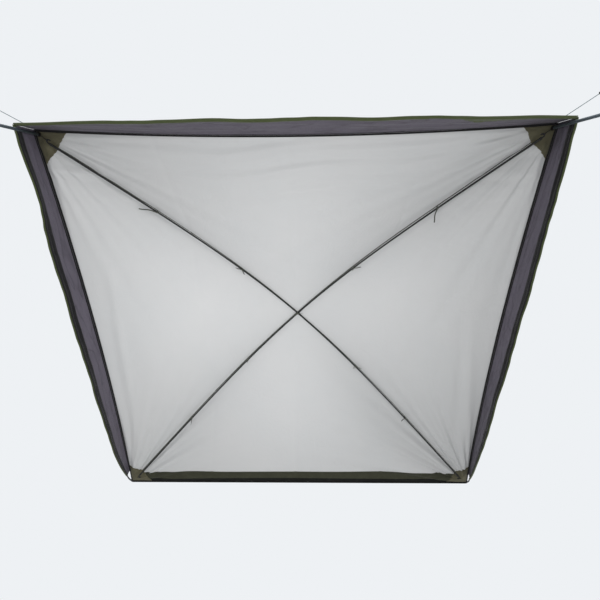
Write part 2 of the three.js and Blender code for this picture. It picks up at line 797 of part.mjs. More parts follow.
function tail(directionShares) {
  const [onward, sideways] = directionShares;
  const rings = Array.from({ length: tailSpans + 1 }, (value, i) => {
    const share = i / tailSpans;
    const reach = tailLength * share;
    const droop = -tailLength * tailDroopShare * share * share;
    const middle = new THREE.Vector3(onward * reach, sideways * reach, droop);
    const flat = new THREE.Vector3(-sideways, onward, 0).multiplyScalar(ribbonWidth / 2);
    const thick = new THREE.Vector3(0, 0, ribbonThickness / 2);
    return [
      middle.clone().sub(flat).sub(thick), middle.clone().add(flat).sub(thick),
      middle.clone().add(flat).add(thick), middle.clone().sub(flat).add(thick),
    ];
  });
  const [wide, thin] = [ribbonWidth / 2, ribbonThickness / 2];
  const outline = [[-wide, -thin], [wide, -thin], [wide, thin], [-wide, thin]];
  return loft(rings, outline.map(([x, y]) => new THREE.Vector2(x, y)));
}

// Loop round the pole, stem up to the seam, knot under the pole and two tails
function ribbonTie(frame, radius, stemTop, tailShares) {
  const outer = radius + ribbonThickness;
  const loop = turned(tubeProfile(radius, outer, -ribbonWidth / 2, ribbonWidth / 2), tieSides)
    .rotateY(Math.PI / 2);
  const [half, thin] = [ribbonWidth / 2, ribbonThickness / 2];
  const seat = (radius + thin) * Math.cos(Math.PI / tieSides);
  const stem = box([-half, -thin, seat], [half, thin, stemTop]);
  const knot = box([-knotSize / 2, -knotSize / 2, -knotSize], [knotSize / 2, knotSize / 2, 0])
    .translate(0, 0, -seat);
  const tails = tailShares.map((shares) => tail(shares).translate(0, 0, -seat - knotSize / 2));
  return placed(joined(loop, stem, knot, ...tails), frame);
}

// Height of the seam over a pole, straight between the panels' rows as the cloth has it
function seamOverPole(share) {
  const next = Math.max(1, panelShares.findIndex((row) => row >= share));
  const [from, to] = [panelShares[next - 1], panelShares[next]];
  return THREE.MathUtils.lerp(ridgeHeight(from), ridgeHeight(to), (share - from) / (to - from));
}

const tailDirectionShares = [[[0.8, 0.6], [-0.86, 0.5]], [[0.5, -0.86], [-0.94, -0.34]]];

// The frame on the straight stretch between two rings of the pole, which is where the made pole lies
function stretchFrame(pole, distance) {
  const stops = sectionShares.slice(1).flatMap((share, index) => sectionStops(index));
  const next = stops.findIndex((stop) => stop >= distance);
  const [from, to] = [poleFrame(pole, stops[next - 1]), poleFrame(pole, stops[next])];
  const share = (distance - stops[next - 1]) / (stops[next] - stops[next - 1]);
  const along = to.place.clone().sub(from.place).normalize();
  const up = new THREE.Vector3().crossVectors(along, from.across);
  return { place: from.place.clone().lerp(to.place, share), along, across: from.across, up };
}

function poleTie(pole, share, turn) {
  const frame = stretchFrame(pole, share * diagonal);
  const ridge = seamOverPole(Math.abs(2 * share - 1));
  const level = frame.up.z;
  const stemTop = (ridge - frame.place.z) * level - tieGap - ribbonThickness / 2;
  return ribbonTie(frame, poleRadius + fitGap * 2, stemTop, tailDirectionShares[turn]);
}

function crownTie() {
  const middle = (upperPoleRise + lowerPoleRise) / 2;
  const frame = {
    place: new THREE.Vector3(0, -halfDepth, middle),
    along: new THREE.Vector3(1, 0, 0),
    across: new THREE.Vector3(0, 1, 0),
    up: new THREE.Vector3(0, 0, 1),
  };
  return ribbonTie(frame, crownTieRadius, canopyRise - middle - tieGap, tailDirectionShares[0]);
}

// Uprights, built on their own axis from the ground up

function spigot() {
  const plug = upperTubeDiameter / 2 - tubeWall - fitGap;
  const shoulder = upperTubeDiameter / 2;
  const pin = spigotPinDiameter / 2;
  const neck = spigotNeckDiameter / 2;
  const ball = grommetBore / 2 - fitGap;
  const seat = spigotShoulder - spigotShoulderHeight;
  const ballTurns = Array.from({ length: spigotBallSteps + 1 }, (value, i) => {
    const low = -Math.acos(neck / ball);
    const high = Math.acos(pin / ball);
    const turn = low + (high - low) * i / spigotBallSteps;
    return [Math.cos(turn) * ball, grommetMiddle + Math.sin(turn) * ball];
  });
  const bottom = upperTubeTop - spigotPlugLength;
  return turned([
    [0, bottom], [plug, bottom], [plug, seat], [shoulder, seat], [shoulder, spigotShoulder],
    [neck, spigotShoulder], ...ballTurns, [pin, spigotPinReach - pin], [0, spigotPinReach],
  ], roundSides);
}

function upperTube() {
  const outer = upperTubeDiameter / 2;
  return turned(tubeProfile(outer - tubeWall, outer, upperTubeBottom, upperTubeTop), roundSides);
}

function lowerTube() {
  const outer = lowerTubeDiameter / 2;
  return turned(tubeProfile(outer - tubeWall, outer, lowerTubeBottom, lowerTubeTop), roundSides);
}

function foot() {
  const cup = footCupDiameter / 2;
  const inside = lowerTubeDiameter / 2 + fitGap;
  const [ground, floor] = [-cornerHeight, -cornerHeight + footFloor];
  const [sole, flare] = [ground + footSoleThickness, ground + footSoleThickness + footFlareHeight];
  return turned([
    [0, ground], [footDiameter / 2, ground], [footDiameter / 2, sole], [cup, flare],
    [cup, ground + footCupHeight], [inside, ground + footCupHeight], [inside, floor], [0, floor],
  ], roundSides);
}

// Split clamp bush on the lower tube's top, squeezed by the twist collar
function clampBush() {
  const inner = upperTubeDiameter / 2 + fitGap;
  const outer = bushDiameter / 2;
  const outline = new THREE.Shape();
  const [from, to] = [2 * Math.PI * bushSlitShare, 2 * Math.PI * (1 - bushSlitShare)];
  for (let i = 0; i <= bushSteps; i += 1) {
    const turn = from + (to - from) * i / bushSteps;
    const place = [Math.cos(turn) * outer, Math.sin(turn) * outer];
    if (i === 0) outline.moveTo(...place);
    else outline.lineTo(...place);
  }
  for (let i = bushSteps; i >= 0; i -= 1) {
    const turn = from + (to - from) * i / bushSteps;
    const facet = Math.cos((to - from) / bushSteps / 2);
    outline.lineTo(Math.cos(turn) * inner / facet, Math.sin(turn) * inner / facet);
  }
  outline.closePath();
  return new THREE.ExtrudeGeometry(outline, { depth: bushHeight, bevelEnabled: false })
    .translate(0, 0, lowerTubeTop + fitGap);
}

function lockCollar() {
  const outer = collarDiameter / 2;
  const facet = Math.cos(Math.PI / roundSides);
  const grip = (lowerTubeDiameter / 2 + fitGap) / facet;
  const chamber = (bushDiameter / 2 + fitGap) / facet;
  const mouth = (upperTubeDiameter / 2 + fitGap * 2) / facet;
  const bottom = lowerTubeTop - collarLap;
  const ledge = lowerTubeTop + fitGap / 2;
  const roof = lowerTubeTop + fitGap * 2 + bushHeight;
  const top = Math.max(bottom + collarHeight, roof + collarLip);
  const body = turned([
    [grip, bottom], [outer, bottom], [outer, top], [mouth, top],
    [mouth, roof], [chamber, roof], [chamber, ledge], [grip, ledge], [grip, bottom],
  ], roundSides);
  const ribs = Array.from({ length: collarRibs }, (value, i) => box(
    [outer - collarRibDepth * 2, -collarRibWidth / 2, bottom + collarLip],
    [outer + collarRibDepth, collarRibWidth / 2, top - collarLip],
  ).rotateZ((i / collarRibs) * 2 * Math.PI));
  return joined(body, ...ribs);
}

// Guy lines: an eye on the pin over the cloth, over the edge of the cloth, and down to an end eye.
// Each point is onward and sideways from the pin's axis, and its height.
const guyRoute = [
  [15, 2.6, 4.8], [10, 5.2, 4.8], [5.2, 7.2, 4.8], [0, 8.2, 4.8], [-5.8, 5.8, 4.8], [-8.2, 0, 4.8],
  [-5.8, -5.8, 4.8], [0, -8.2, 4.8], [5.2, -7, 4.8], [10, -4.6, 4.8], [15, -2, 4.8], [22, -0.3, 4.8],
  [30, 0, 4.8], [36, 0, 4.1], [41, 0, 1], [45.1, 0, -4.9], [49, 0, -10.5], [67.3, 0, -34.3],
  [85.6, 0, -58.1], [103.9, 0, -81.9], [122.2, 0, -105.7], [140.5, 0, -129.5], [158.8, 0, -153.2],
  [174.1, 0, -173.1], [180.2, 1.6, -181], [185, 5.2, -187.3], [189.5, 7.5, -193.1],
  [192.8, 7.5, -197.4], [195.2, 4.6, -200.5], [196, 0, -201.6], [195.2, -4.6, -200.5],
  [192.8, -7.5, -197.4], [189.5, -7.5, -193.1], [185, -5.4, -187.3], [180.8, -2.6, -181.8],
];
const guyTurns = { left: 1.256 * Math.PI, right: 1.7 * Math.PI };
const runnerFrom = [122.2, 0, -105.7];
const runnerTo = [158.8, 0, -153.2];

function guyLine() {
  const path = new THREE.CatmullRomCurve3(guyRoute.map((place) => new THREE.Vector3(...place)));
  return rod(path, guyDiameter, cordSides, Math.round(path.getLength() / guyStep));
}

// Runner that slides on the straight stretch of the line
function guyRunner() {
  const bore = new THREE.CylinderGeometry(
    guyDiameter / 2 + runnerBoreGap, guyDiameter / 2 + runnerBoreGap, runnerLength + overrun, cordSides,
  ).rotateZ(Math.PI / 2);
  const body = new THREE.BoxGeometry(runnerLength, runnerWidth, runnerThickness);
  const from = new THREE.Vector3(...runnerFrom);
  const to = new THREE.Vector3(...runnerTo);
  const onward = to.clone().sub(from).normalize();
  const turn = new THREE.Quaternion().setFromUnitVectors(new THREE.Vector3(1, 0, 0), onward);
  const middle = from.add(to).multiplyScalar(1 / 2);
  return cut(body, bore).applyQuaternion(turn).translate(middle.x, middle.y, middle.z);
}

const awning = new THREE.Group();

function add(name, geometry, material, parent = awning) {
  const mesh = new THREE.Mesh(geometry, material);
  mesh.name = name;
  parent.add(mesh);
  return mesh;
}

for (const side of ['front', 'left', 'right', 'mount']) {
  add(`${side}_panel`, panel(side), silverCloth);
}
for (const side of ['front', 'left', 'right']) {
  add(`${side}_valance`, valance(side), oliveCloth);
}
add('left_hem_webbing', hemWebbing('left'), blackWebbing);
add('right_hem_webbing', hemWebbing('right'), blackWebbing);
add('seam_binding', seamBinding(), blackWebbing);
add('mount_strip', mountStrip(), oliveCloth);
add('edge_welt', new THREE.CylinderGeometry(weltDiameter / 2, weltDiameter / 2, awningWidth, sleeveSegments)
  .rotateZ(Math.PI / 2), weltCord);

for (const [name, left, front] of [
  ['front_left_patch', true, true], ['front_right_patch', false, true],
  ['mount_left_patch', true, false], ['mount_right_patch', false, false],
]) {
  add(name, cornerPatch(left, front), darkCloth);
}

for (const pole of ['upper', 'lower']) {
  for (let index = 0; index + 1 < sectionShares.length; index += 1) {
    add(`${pole}_pole_section_${index + 1}`, poleSection(pole, index), blackRod);
  }
  add(`${pole}_pole_front_tip`, poleTip(pole, false), blackPlastic);
  add(`${pole}_pole_mount_tip`, poleTip(pole, true), blackPlastic);
  add(`${pole}_pole_shock_cord`, shockCord(pole), blackWebbing);
  tieShares[pole].forEach((share, index) => {
    if (index !== (tieShares[pole].length - 1) / 2) {
      add(`${pole}_pole_tie_${index + 1}`, poleTie(pole, share, index % 2), greyRibbon);
    }
  });
}
add('crown_tie', crownTie(), greyRibbon);

for (const side of ['left', 'right']) {
  const left = side === 'left';
  const x = left ? -uprightX : uprightX;
  add(`${side}_grommet`, grommet(x), brassEyelet);
  add(`${side}_corner_cord`, cornerCord(left), blackWebbing);
  const guy = new THREE.Group();
  guy.position.set(x, uprightY, 0);
  guy.rotation.z = guyTurns[side];
  awning.add(guy);
  add(`${side}_guy_line`, guyLine(), greyLine, guy);
  add(`${side}_guy_runner`, guyRunner(), blackPlastic, guy);
  const stand = new THREE.Group();
  stand.position.set(x, uprightY, 0);
  awning.add(stand);
  add(`${side}_spigot`, spigot(), blackPlastic, stand);
  add(`${side}_upper_tube`, upperTube(), greyAluminium, stand);
  add(`${side}_lower_tube`, lowerTube(), greyAluminium, stand);
  add(`${side}_clamp_bush`, clampBush(), blackPlastic, stand);
  add(`${side}_lock_collar`, lockCollar(), blackPlastic, stand);
  add(`${side}_foot`, foot(), blackPlastic, stand);
}

export default awning;
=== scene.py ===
"""Square sun awning, held by the welt along one edge, seen from under its dome.

The classes work in millimetres in the awning's own frame: the origin is the middle of the welt, +Y points
out past the held edge and +Z up. A mesh is turned to metres when it is made.
"""

import json
import logging
import math
from collections.abc import Mapping, Sequence
from dataclasses import dataclass
from enum import Enum

import bmesh
import bpy
import numpy as np
from mathutils import Matrix, Vector


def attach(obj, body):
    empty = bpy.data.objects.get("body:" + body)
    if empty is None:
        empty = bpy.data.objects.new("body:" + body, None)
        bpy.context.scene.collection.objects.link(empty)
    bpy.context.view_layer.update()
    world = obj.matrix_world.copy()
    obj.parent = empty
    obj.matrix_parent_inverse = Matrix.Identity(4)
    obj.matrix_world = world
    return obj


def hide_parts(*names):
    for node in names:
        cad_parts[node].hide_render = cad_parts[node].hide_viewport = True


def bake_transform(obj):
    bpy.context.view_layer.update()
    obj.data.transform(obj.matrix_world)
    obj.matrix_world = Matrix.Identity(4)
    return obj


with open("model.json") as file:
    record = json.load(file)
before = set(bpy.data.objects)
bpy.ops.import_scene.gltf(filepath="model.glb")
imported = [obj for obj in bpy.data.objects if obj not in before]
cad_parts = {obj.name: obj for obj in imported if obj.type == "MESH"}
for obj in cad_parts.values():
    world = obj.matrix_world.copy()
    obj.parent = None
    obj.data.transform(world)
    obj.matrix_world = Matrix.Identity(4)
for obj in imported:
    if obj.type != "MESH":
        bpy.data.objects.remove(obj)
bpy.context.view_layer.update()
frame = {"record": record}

logging.basicConfig(level=logging.INFO, format="%(message)s")
log = logging.getLogger("awning")

MILLIMETRE = 0.001

Array = np.ndarray
Piece = bpy.types.Object
Tree = bpy.types.NodeTree
Socket = bpy.types.NodeSocket
Triple = tuple[float, float, float]

# Folds of a coated band, whose lines take painted shade, and creases of packed cloth: how many there are to
# the metre.
FOLDS_PER_METRE = (2.6, 20.0, 1.0)
CREASES_PER_METRE = 9.0
WARPS_PER_METRE = 5.0
# Colour of the painted shade in the folds of a coated band.
FOLD_SHADE = "#1c1a20"
# Blender's wave texture repeats after this length at a scale of 1.
WAVE_PERIOD = 2 * math.pi / 20


def linear(colour: str) -> tuple[float, float, float, float]:
    """Turns an sRGB hex colour to linear light.

    Args:
        colour: Six hex digits after a hash.

    Returns:
        Red, green, blue and an alpha of 1.
    """
    values = [int(colour[i : i + 2], 16) / 255 for i in (1, 3, 5)]
    red, green, blue = (v / 12.92 if v <= 0.04045 else ((v + 0.055) / 1.055) ** 2.4 for v in values)
    return red, green, blue, 1.0


def add_node(tree: Tree, kind: str, inputs: dict | None = None, **settings) -> bpy.types.Node:
    """Adds a node with its settings and links.

    Args:
        tree: The tree that takes the node.
        kind: The node's type name.
        inputs: A value or a source socket for each input, by its name or number.
        **settings: The node's own properties.

    Returns:
        The new node.
    """
    node = tree.nodes.new(kind)
    for name, value in settings.items():
        setattr(node, name, value)
    for name, value in (inputs or {}).items():
        if isinstance(value, Socket):
            tree.links.new(value, node.inputs[name])
        else:
            node.inputs[name].default_value = value
    return node


def emptied(owner: bpy.types.Material | bpy.types.World) -> Tree:
    """Empties the nodes of a material or a world.

    Args:
        owner: The material or the world.

    Returns:
        Its nodes.
    """
    owner.use_nodes = True
    owner.node_tree.nodes.clear()
    return owner.node_tree


def stand(name: str, data: bpy.types.ID) -> Piece:
    """Makes an object and links it to the scene.

    Args:
        name: Its name.
        data: Its mesh, camera or lamp.

    Returns:
        The object.
    """
    made = bpy.data.objects.new(name, data)
    bpy.context.scene.collection.objects.link(made)
    return made


def circle(count: int, power: float = 1.0) -> tuple[Array, Array]:
    """Spaces points evenly round a circle, or round a squarer shape.

    Args:
        count: The number of points.
        power: 1 for a circle, less for squarer corners.

    Returns:
        Their cosines and sines.
    """
    turns = np.arange(count) / count * 2 * math.pi
    return tuple(np.sign(part) * abs(part) ** power for part in (np.cos(turns), np.sin(turns)))


class Pattern(Enum):
    """What the surface of a material shows from close by."""

    WEAVE = "threads over and under each other"
    COATED = "weave under a coating, with small creases"
    BRAID = "strands wound round a cord"
    RIBBED = "ribs across a woven band"
    DRAWN = "fine lines along a drawn tube"
    MOULDED = "fine grain of a mould"


class Space(Enum):
    """Where a pattern takes its place from."""

    PIECE = "Object"
    FOLLOWING = "UV"


@dataclass(frozen=True)
class Finish:
    """A material of the awning, with its pattern at a real size."""

    name: str
    slot: str
    colour: str
    tint: str
    roughness: float
    pattern: Pattern
    pitch: float
    relief: float
    space: Space = Space.PIECE
    metallic: float = 0.0
    sheen: float = 0.0
    mottle: float = 90.0
    crease: float = 0.0
    clear: float = 0.0
    # Strength of the painted shade on the fold lines of a coated band.
    painted_fold_shade: float = 0.0

    def material(self) -> bpy.types.Material:
        """Returns the finish as a material, made at its first use."""
        made = bpy.data.materials.get(self.name)
        return made or self._build()

    def _build(self) -> bpy.types.Material:
        """Makes the nodes: colour with soft variation and, where asked, painted shade on fold lines,
        roughness and relief.

        Returns:
            The material.
        """
        material = bpy.data.materials.new(self.name)
        tree = emptied(material)
        place = add_node(tree, "ShaderNodeTexCoord").outputs[self.space.value]
        soft = add_node(tree, "ShaderNodeTexNoise", {
            "Vector": place, "Scale": 1000 / self.mottle, "Detail": 3.0, "Roughness": 0.55,
        })
        mix = add_node(tree, "ShaderNodeMix", {
            "Factor": soft.outputs["Fac"], 6: linear(self.colour), 7: linear(self.tint),
        }, data_type="RGBA")
        # Bands with painted fold shade get it darkened onto their fold lines.
        colour = self._paint_fold_shade(tree, place, mix.outputs[2]) if self.painted_fold_shade else mix.outputs[2]
        relief = self._relief(tree, place)
        bump = add_node(tree, "ShaderNodeBump", {
            "Strength": 1.0, "Distance": self.relief * MILLIMETRE, "Height": relief,
        })
        if self.crease:
            bump = self._creases(tree, place, bump.outputs["Normal"])
        rough = add_node(tree, "ShaderNodeMapRange", {
            "Value": soft.outputs["Fac"], "To Min": self.roughness * 0.92, "To Max": self.roughness * 1.08,
        })
        shader = add_node(tree, "ShaderNodeBsdfPrincipled", {
            "Base Color": colour, "Roughness": rough.outputs["Result"],
            "Metallic": self.metallic, "Sheen Weight": self.sheen, "Coat Weight": self.clear,
            "Normal": bump.outputs["Normal"],
        })
        add_node(tree, "ShaderNodeOutputMaterial", {"Surface": shader.outputs["BSDF"]})
        return material

    def _bands(self, tree: Tree, place: Socket, axis: str) -> Socket:
        """Adds straight ridges across one axis, a pitch apart.

        Args:
            tree: The material's nodes.
            place: The coordinates that the ridges follow.
            axis: The axis that they cross, X or Y.

        Returns:
            Their height from 0 to 1.
        """
        wave = add_node(tree, "ShaderNodeTexWave", {
            "Vector": place, "Scale": WAVE_PERIOD / (self.pitch * MILLIMETRE),
        }, wave_type="BANDS", bands_direction=axis)
        return wave.outputs["Fac"]

    def _grain(self, tree: Tree, place: Socket, stretch: Triple) -> Socket:
        """Adds noise a pitch in size, drawn out along an axis.

        Args:
            tree: The material's nodes.
            place: The coordinates that the noise follows.
            stretch: The noise's scale along each axis.

        Returns:
            Its height from 0 to 1.
        """
        mapping = add_node(tree, "ShaderNodeMapping", {"Vector": place, "Scale": stretch})
        noise = add_node(tree, "ShaderNodeTexNoise", {
            "Vector": mapping.outputs["Vector"], "Scale": 1000 / self.pitch, "Detail": 2.0,
        })
        return noise.outputs["Fac"]

    def _relief(self, tree: Tree, place: Socket) -> Socket:
        """Adds the height of the pattern.

        Args:
            tree: The material's nodes.
            place: The coordinates that the pattern follows.

        Returns:
            A height from 0 to 1.
        """
        if self.pattern in (Pattern.WEAVE, Pattern.COATED):
            ridges = {number: self._bands(tree, place, axis) for number, axis in enumerate("XY")}
            return add_node(tree, "ShaderNodeMath", ridges, operation="MULTIPLY").outputs[0]
        if self.pattern is Pattern.BRAID:
            turned = add_node(tree, "ShaderNodeMapping", {
                "Vector": place, "Rotation": (0.0, 0.0, math.radians(38)),
            })
            return self._bands(tree, turned.outputs["Vector"], "X")
        if self.pattern is Pattern.RIBBED:
            return self._bands(tree, place, "X")
        lengthwise = 0.03 if self.pattern is Pattern.DRAWN else 1.0
        return self._grain(tree, place, (1.0, 1.0, lengthwise))

    def _paint_fold_shade(self, tree: Tree, place: Socket, colour: Socket) -> Socket:
        """Paints shade on thin lengthwise lines, where the cloth of a band is folded.

        Args:
            tree: The material's nodes.
            place: The coordinates along and across the band.
            colour: The cloth's colour.

        Returns:
            The colour with its painted shade.
        """
        drawn = add_node(tree, "ShaderNodeMapping", {"Vector": place, "Scale": FOLDS_PER_METRE})
        noise = add_node(tree, "ShaderNodeTexNoise", {
            "Vector": drawn.outputs["Vector"], "Scale": 1.0, "Detail": 1.6, "Distortion": 0.6,
        })
        offset = add_node(tree, "ShaderNodeMath", {0: noise.outputs["Fac"], 1: 0.5}, operation="SUBTRACT")
        distance = add_node(tree, "ShaderNodeMath", {0: offset.outputs[0]}, operation="ABSOLUTE")
        line = add_node(tree, "ShaderNodeMapRange", {
            "Value": distance.outputs[0], "From Max": 0.03, "To Min": self.painted_fold_shade, "To Max": 0.0,
        })
        return add_node(tree, "ShaderNodeMix", {
            "Factor": line.outputs["Result"], 6: colour, 7: linear(FOLD_SHADE),
        }, data_type="RGBA").outputs[2]

    def _creases(self, tree: Tree, place: Socket, normal: Socket) -> bpy.types.Node:
        """Adds the small sharp creases that a coating keeps from its packing.

        Args:
            tree: The material's nodes.
            place: The coordinates that the creases follow.
            normal: The normal with the relief of the threads.

        Returns:
            The bump that has both.
        """
        warp = add_node(tree, "ShaderNodeTexNoise", {
            "Vector": place, "Scale": WARPS_PER_METRE, "Detail": 2.0,
        })
        bent = add_node(tree, "ShaderNodeVectorMath", {
            0: place, 1: warp.outputs["Color"],
        }, operation="ADD")
        cells = add_node(tree, "ShaderNodeTexNoise", {
            "Vector": bent.outputs["Vector"], "Scale": CREASES_PER_METRE, "Detail": 6.0, "Roughness": 0.62,
        })
        return add_node(tree, "ShaderNodeBump", {
            "Strength": 1.0, "Distance": self.crease * MILLIMETRE,
            "Height": cells.outputs["Fac"], "Normal": normal,
        })


# Polyester with a silver coating: satin, evenly pale, its threads just felt under the coating.
# Real threads lie 0.3 mm apart and are drawn at 3 mm, because nothing finer shows at this distance.
SILVER_CLOTH = Finish("silver_coated_polyester", "silver_cloth", "#d5d5d6", "#ced0d2", 0.55,
                      Pattern.COATED, 3.0, 0.12, mottle=420, crease=2.0, sheen=0.15)
# Outer side of the valances: olive polyester, matt, threads at 0.4 mm drawn at 2.5 mm.
OLIVE_CLOTH = Finish("olive_polyester", "olive_cloth", "#4a5430", "#424b2a", 0.82,
                     Pattern.WEAVE, 2.5, 0.2, mottle=60, crease=4.0, sheen=0.2)
# Inner side of the same cloth: a thin polyurethane coating, its purple-grey a painted shade darker than the
# canopy's.
SHADED_INSIDE_COATING = Finish("polyurethane_coated_inside", "olive_cloth", "#625d69", "#56515d", 0.6,
                       Pattern.COATED, 2.5, 0.15, space=Space.FOLLOWING, mottle=120, crease=5.0, sheen=0.1,
                       painted_fold_shade=0.35)
# Heavier coated cloth of the corner patches, olive drab with a dull coating.
PATCH_CLOTH = Finish("reinforced_patch_cloth", "dark_cloth", "#68644f", "#5a5743", 0.85,
                     Pattern.WEAVE, 2.0, 0.3, mottle=30, crease=1.5, sheen=0.1)
# Olive strip by the held edge, thicker than the valances, drawn a darker olive that is painted shade, and its
# sleeve, black.
STRIP_IN_PAINTED_SHADE = Finish("strip_olive_painted_shade", "olive_cloth", "#3f4030", "#333427", 0.85,
                     Pattern.WEAVE, 2.0, 0.3, mottle=50, crease=3.0, sheen=0.1)
SLEEVE_CLOTH = Finish("black_sleeve_cloth", "olive_cloth", "#0d0e0b", "#0a0b08", 0.9,
                      Pattern.WEAVE, 2.0, 0.3, mottle=50, crease=2.0)
# Woven polyester webbing, black, with ribs 1.5 mm apart.
BLACK_WEBBING = Finish("black_polyester_webbing", "black_webbing", "#141316", "#1b1a1d", 0.9,
                       Pattern.RIBBED, 1.5, 0.3, space=Space.FOLLOWING, mottle=15, sheen=0.15)
# Grey-green tape that is sewn over the seams of the panels.
SEAM_TAPE = Finish("grey_seam_tape", "grey_ribbon", "#5d6058", "#53564e", 0.85,
                   Pattern.RIBBED, 1.2, 0.15, space=Space.FOLLOWING, mottle=40)
# Woven ribbon of the pole ties.
RIBBON = Finish("woven_grey_ribbon", "grey_ribbon", "#585b52", "#494c45", 0.85,
                Pattern.RIBBED, 1.0, 0.15, space=Space.FOLLOWING, mottle=12)
# Polyester sewing thread.
THREAD = Finish("polyester_thread", "black_webbing", "#2e2d30", "#262528", 0.7,
                Pattern.MOULDED, 1.0, 0.05)
PALE_THREAD = Finish("pale_polyester_thread", "silver_cloth", "#b3b5b5", "#a6a8a8", 0.7,
                     Pattern.MOULDED, 1.0, 0.05)
# Pultruded fibreglass rod: dark, smooth, its fibres run lengthwise.
POLE_ROD = Finish("pultruded_fibreglass", "pole_rod", "#17181a", "#121314", 0.45,
                  Pattern.MOULDED, 1.0, 0.05, mottle=25, clear=0.3)
# Moulded nylon, slightly grained.
NYLON = Finish("moulded_nylon", "black_plastic", "#17181a", "#1d1e20", 0.5,
               Pattern.MOULDED, 0.8, 0.06, mottle=12)
# Anodised aluminium tube with faint drawing lines.
ALUMINIUM = Finish("anodised_aluminium", "aluminium_tube", "#7d878e", "#727c84", 0.55,
                   Pattern.DRAWN, 0.8, 0.03, metallic=1.0, mottle=60)
# Brass eyelet with a dark plating.
PLATED_BRASS = Finish("dark_plated_brass", "eyelet_metal", "#56524a", "#484540", 0.4,
                      Pattern.MOULDED, 0.6, 0.03, metallic=1.0, mottle=8)
# Braided polyester guy line, strands 2 mm apart.
GUY_BRAID = Finish("braided_guy_cord", "guy_cord", "#8798a0", "#778a93", 0.75,
                   Pattern.BRAID, 2.0, 0.3, space=Space.FOLLOWING, mottle=20)
# Braided sleeve of the short corner cords and of the shock cord.
BLACK_BRAID = Finish("black_braided_cord", "black_cord", "#1f1f21", "#2a2a2c", 0.8,
                     Pattern.BRAID, 1.5, 0.25, space=Space.FOLLOWING, mottle=10)
# Twisted rope core of the welt.
ROPE_CORE = Finish("twisted_rope_core", "welt_cord", "#2e2f30", "#242526", 0.75,
                   Pattern.MOULDED, 2.0, 0.3, mottle=12)
# Moulded rubber of the feet.
RUBBER = Finish("moulded_rubber", "foot_rubber", "#161617", "#1c1c1d", 0.7,
                Pattern.MOULDED, 1.2, 0.1, mottle=15)


def new_object(name: str, vertices: Array, faces: list, finishes: list[Finish],
               slots: list[int] | None = None, edges: list | None = None) -> Piece:
    """Makes a mesh object from points in millimetres.

    Args:
        name: The piece's name.
        vertices: The points, three numbers each.
        faces: The corners of each face.
        finishes: The finishes that the faces take.
        slots: The number of the finish for each face, 0 for all if left out.
        edges: The two ends of each loose edge, none if left out.

    Returns:
        The new object, linked to the scene.
    """
    mesh = bpy.data.meshes.new(name)
    mesh.from_pydata((np.asarray(vertices, float) * MILLIMETRE).tolist(), edges or [], faces)
    for finish in finishes:
        mesh.materials.append(finish.material())
    if slots is not None:
        mesh.polygons.foreach_set("material_index", slots)
    mesh.polygons.foreach_set("use_smooth", [True] * len(mesh.polygons))
    mesh.update()
    return stand(name, mesh)


def face_outwards(mesh: bpy.types.Mesh) -> None:
    """Turns a closed shell the right way round if its volume is negative.

    Args:
        mesh: The shell.
    """
    place = np.empty(len(mesh.vertices) * 3)
    mesh.vertices.foreach_get("co", place)
    place = place.reshape(-1, 3)
    mesh.calc_loop_triangles()
    corners = np.empty(len(mesh.loop_triangles) * 3, int)
    mesh.loop_triangles.foreach_get("vertices", corners)
    a, b, c = (place[corners.reshape(-1, 3)[:, k]] for k in range(3))
    if np.einsum("ij,ij->i", a, np.cross(b, c)).sum() < 0:
        mesh.flip_normals()


def set_uv(mesh: bpy.types.Mesh, places: Array) -> None:
    """Writes each vertex's place on the unrolled piece to a UV map, in metres.

    Args:
        mesh: The piece's mesh.
        places: The places, in millimetres.
    """
    layer = mesh.uv_layers.new(name="along")
    corners = np.empty(len(mesh.loops), int)
    mesh.loops.foreach_get("vertex_index", corners)
    layer.data.foreach_set("uv", (places[corners] * MILLIMETRE).ravel())


def lengths(points: Array) -> Array:
    """Returns the length along a row of points up to each one."""
    steps = np.linalg.norm(np.diff(points, axis=0), axis=1)
    return np.concatenate([[0.0], np.cumsum(steps)])


def loft(name: str, rings: Array, finishes: list[Finish], finish_of: Array | None = None,
         closed_path: bool = False) -> Piece:
    """Makes a closed solid through matching rings of points.

    Args:
        name: The piece's name.
        rings: Rows of ring points, in millimetres.
        finishes: The finishes that the faces take.
        finish_of: The number of the finish for each stretch and each side of the ring.
        closed_path: Whether the last ring meets the first.

    Returns:
        The piece, with a UV map along and round it.
    """
    rows, count = rings.shape[:2]
    faces, slots = [], []
    spans = rows if closed_path else rows - 1
    for i in range(spans):
        for j in range(count):
            nearer, further = i * count, (i + 1) % rows * count
            k = (j + 1) % count
            faces.append((nearer + j, nearer + k, further + k, further + j))
            slots.append(0 if finish_of is None else int(finish_of[i, j]))
    if not closed_path:
        faces += [tuple(range(count))[::-1], tuple(range((rows - 1) * count, rows * count))]
        slots += [slots[0], slots[-1]]
    piece = new_object(name, rings.reshape(-1, 3), faces, finishes, slots)
    along = lengths(rings.mean(axis=1))
    ring = rings[rows // 2]
    around = lengths(ring)
    places = np.stack(np.broadcast_arrays(along[:, None], around[None, :]), axis=-1)
    set_uv(piece.data, places.reshape(-1, 2))
    face_outwards(piece.data)
    return piece


def rim_of(rows: int, columns: int) -> list[tuple[int, int]]:
    """Finds the edges round a grid of points.

    Args:
        rows: The number of its rows.
        columns: The number of its columns.

    Returns:
        The two points of each edge, once round.
    """
    rim = list(range(columns)) + [i * columns + columns - 1 for i in range(1, rows)]
    rim += [(rows - 1) * columns + j for j in reversed(range(columns - 1))]
    rim += [i * columns for i in reversed(range(1, rows - 1))]
    return list(zip(rim, rim[1:] + rim[:1]))


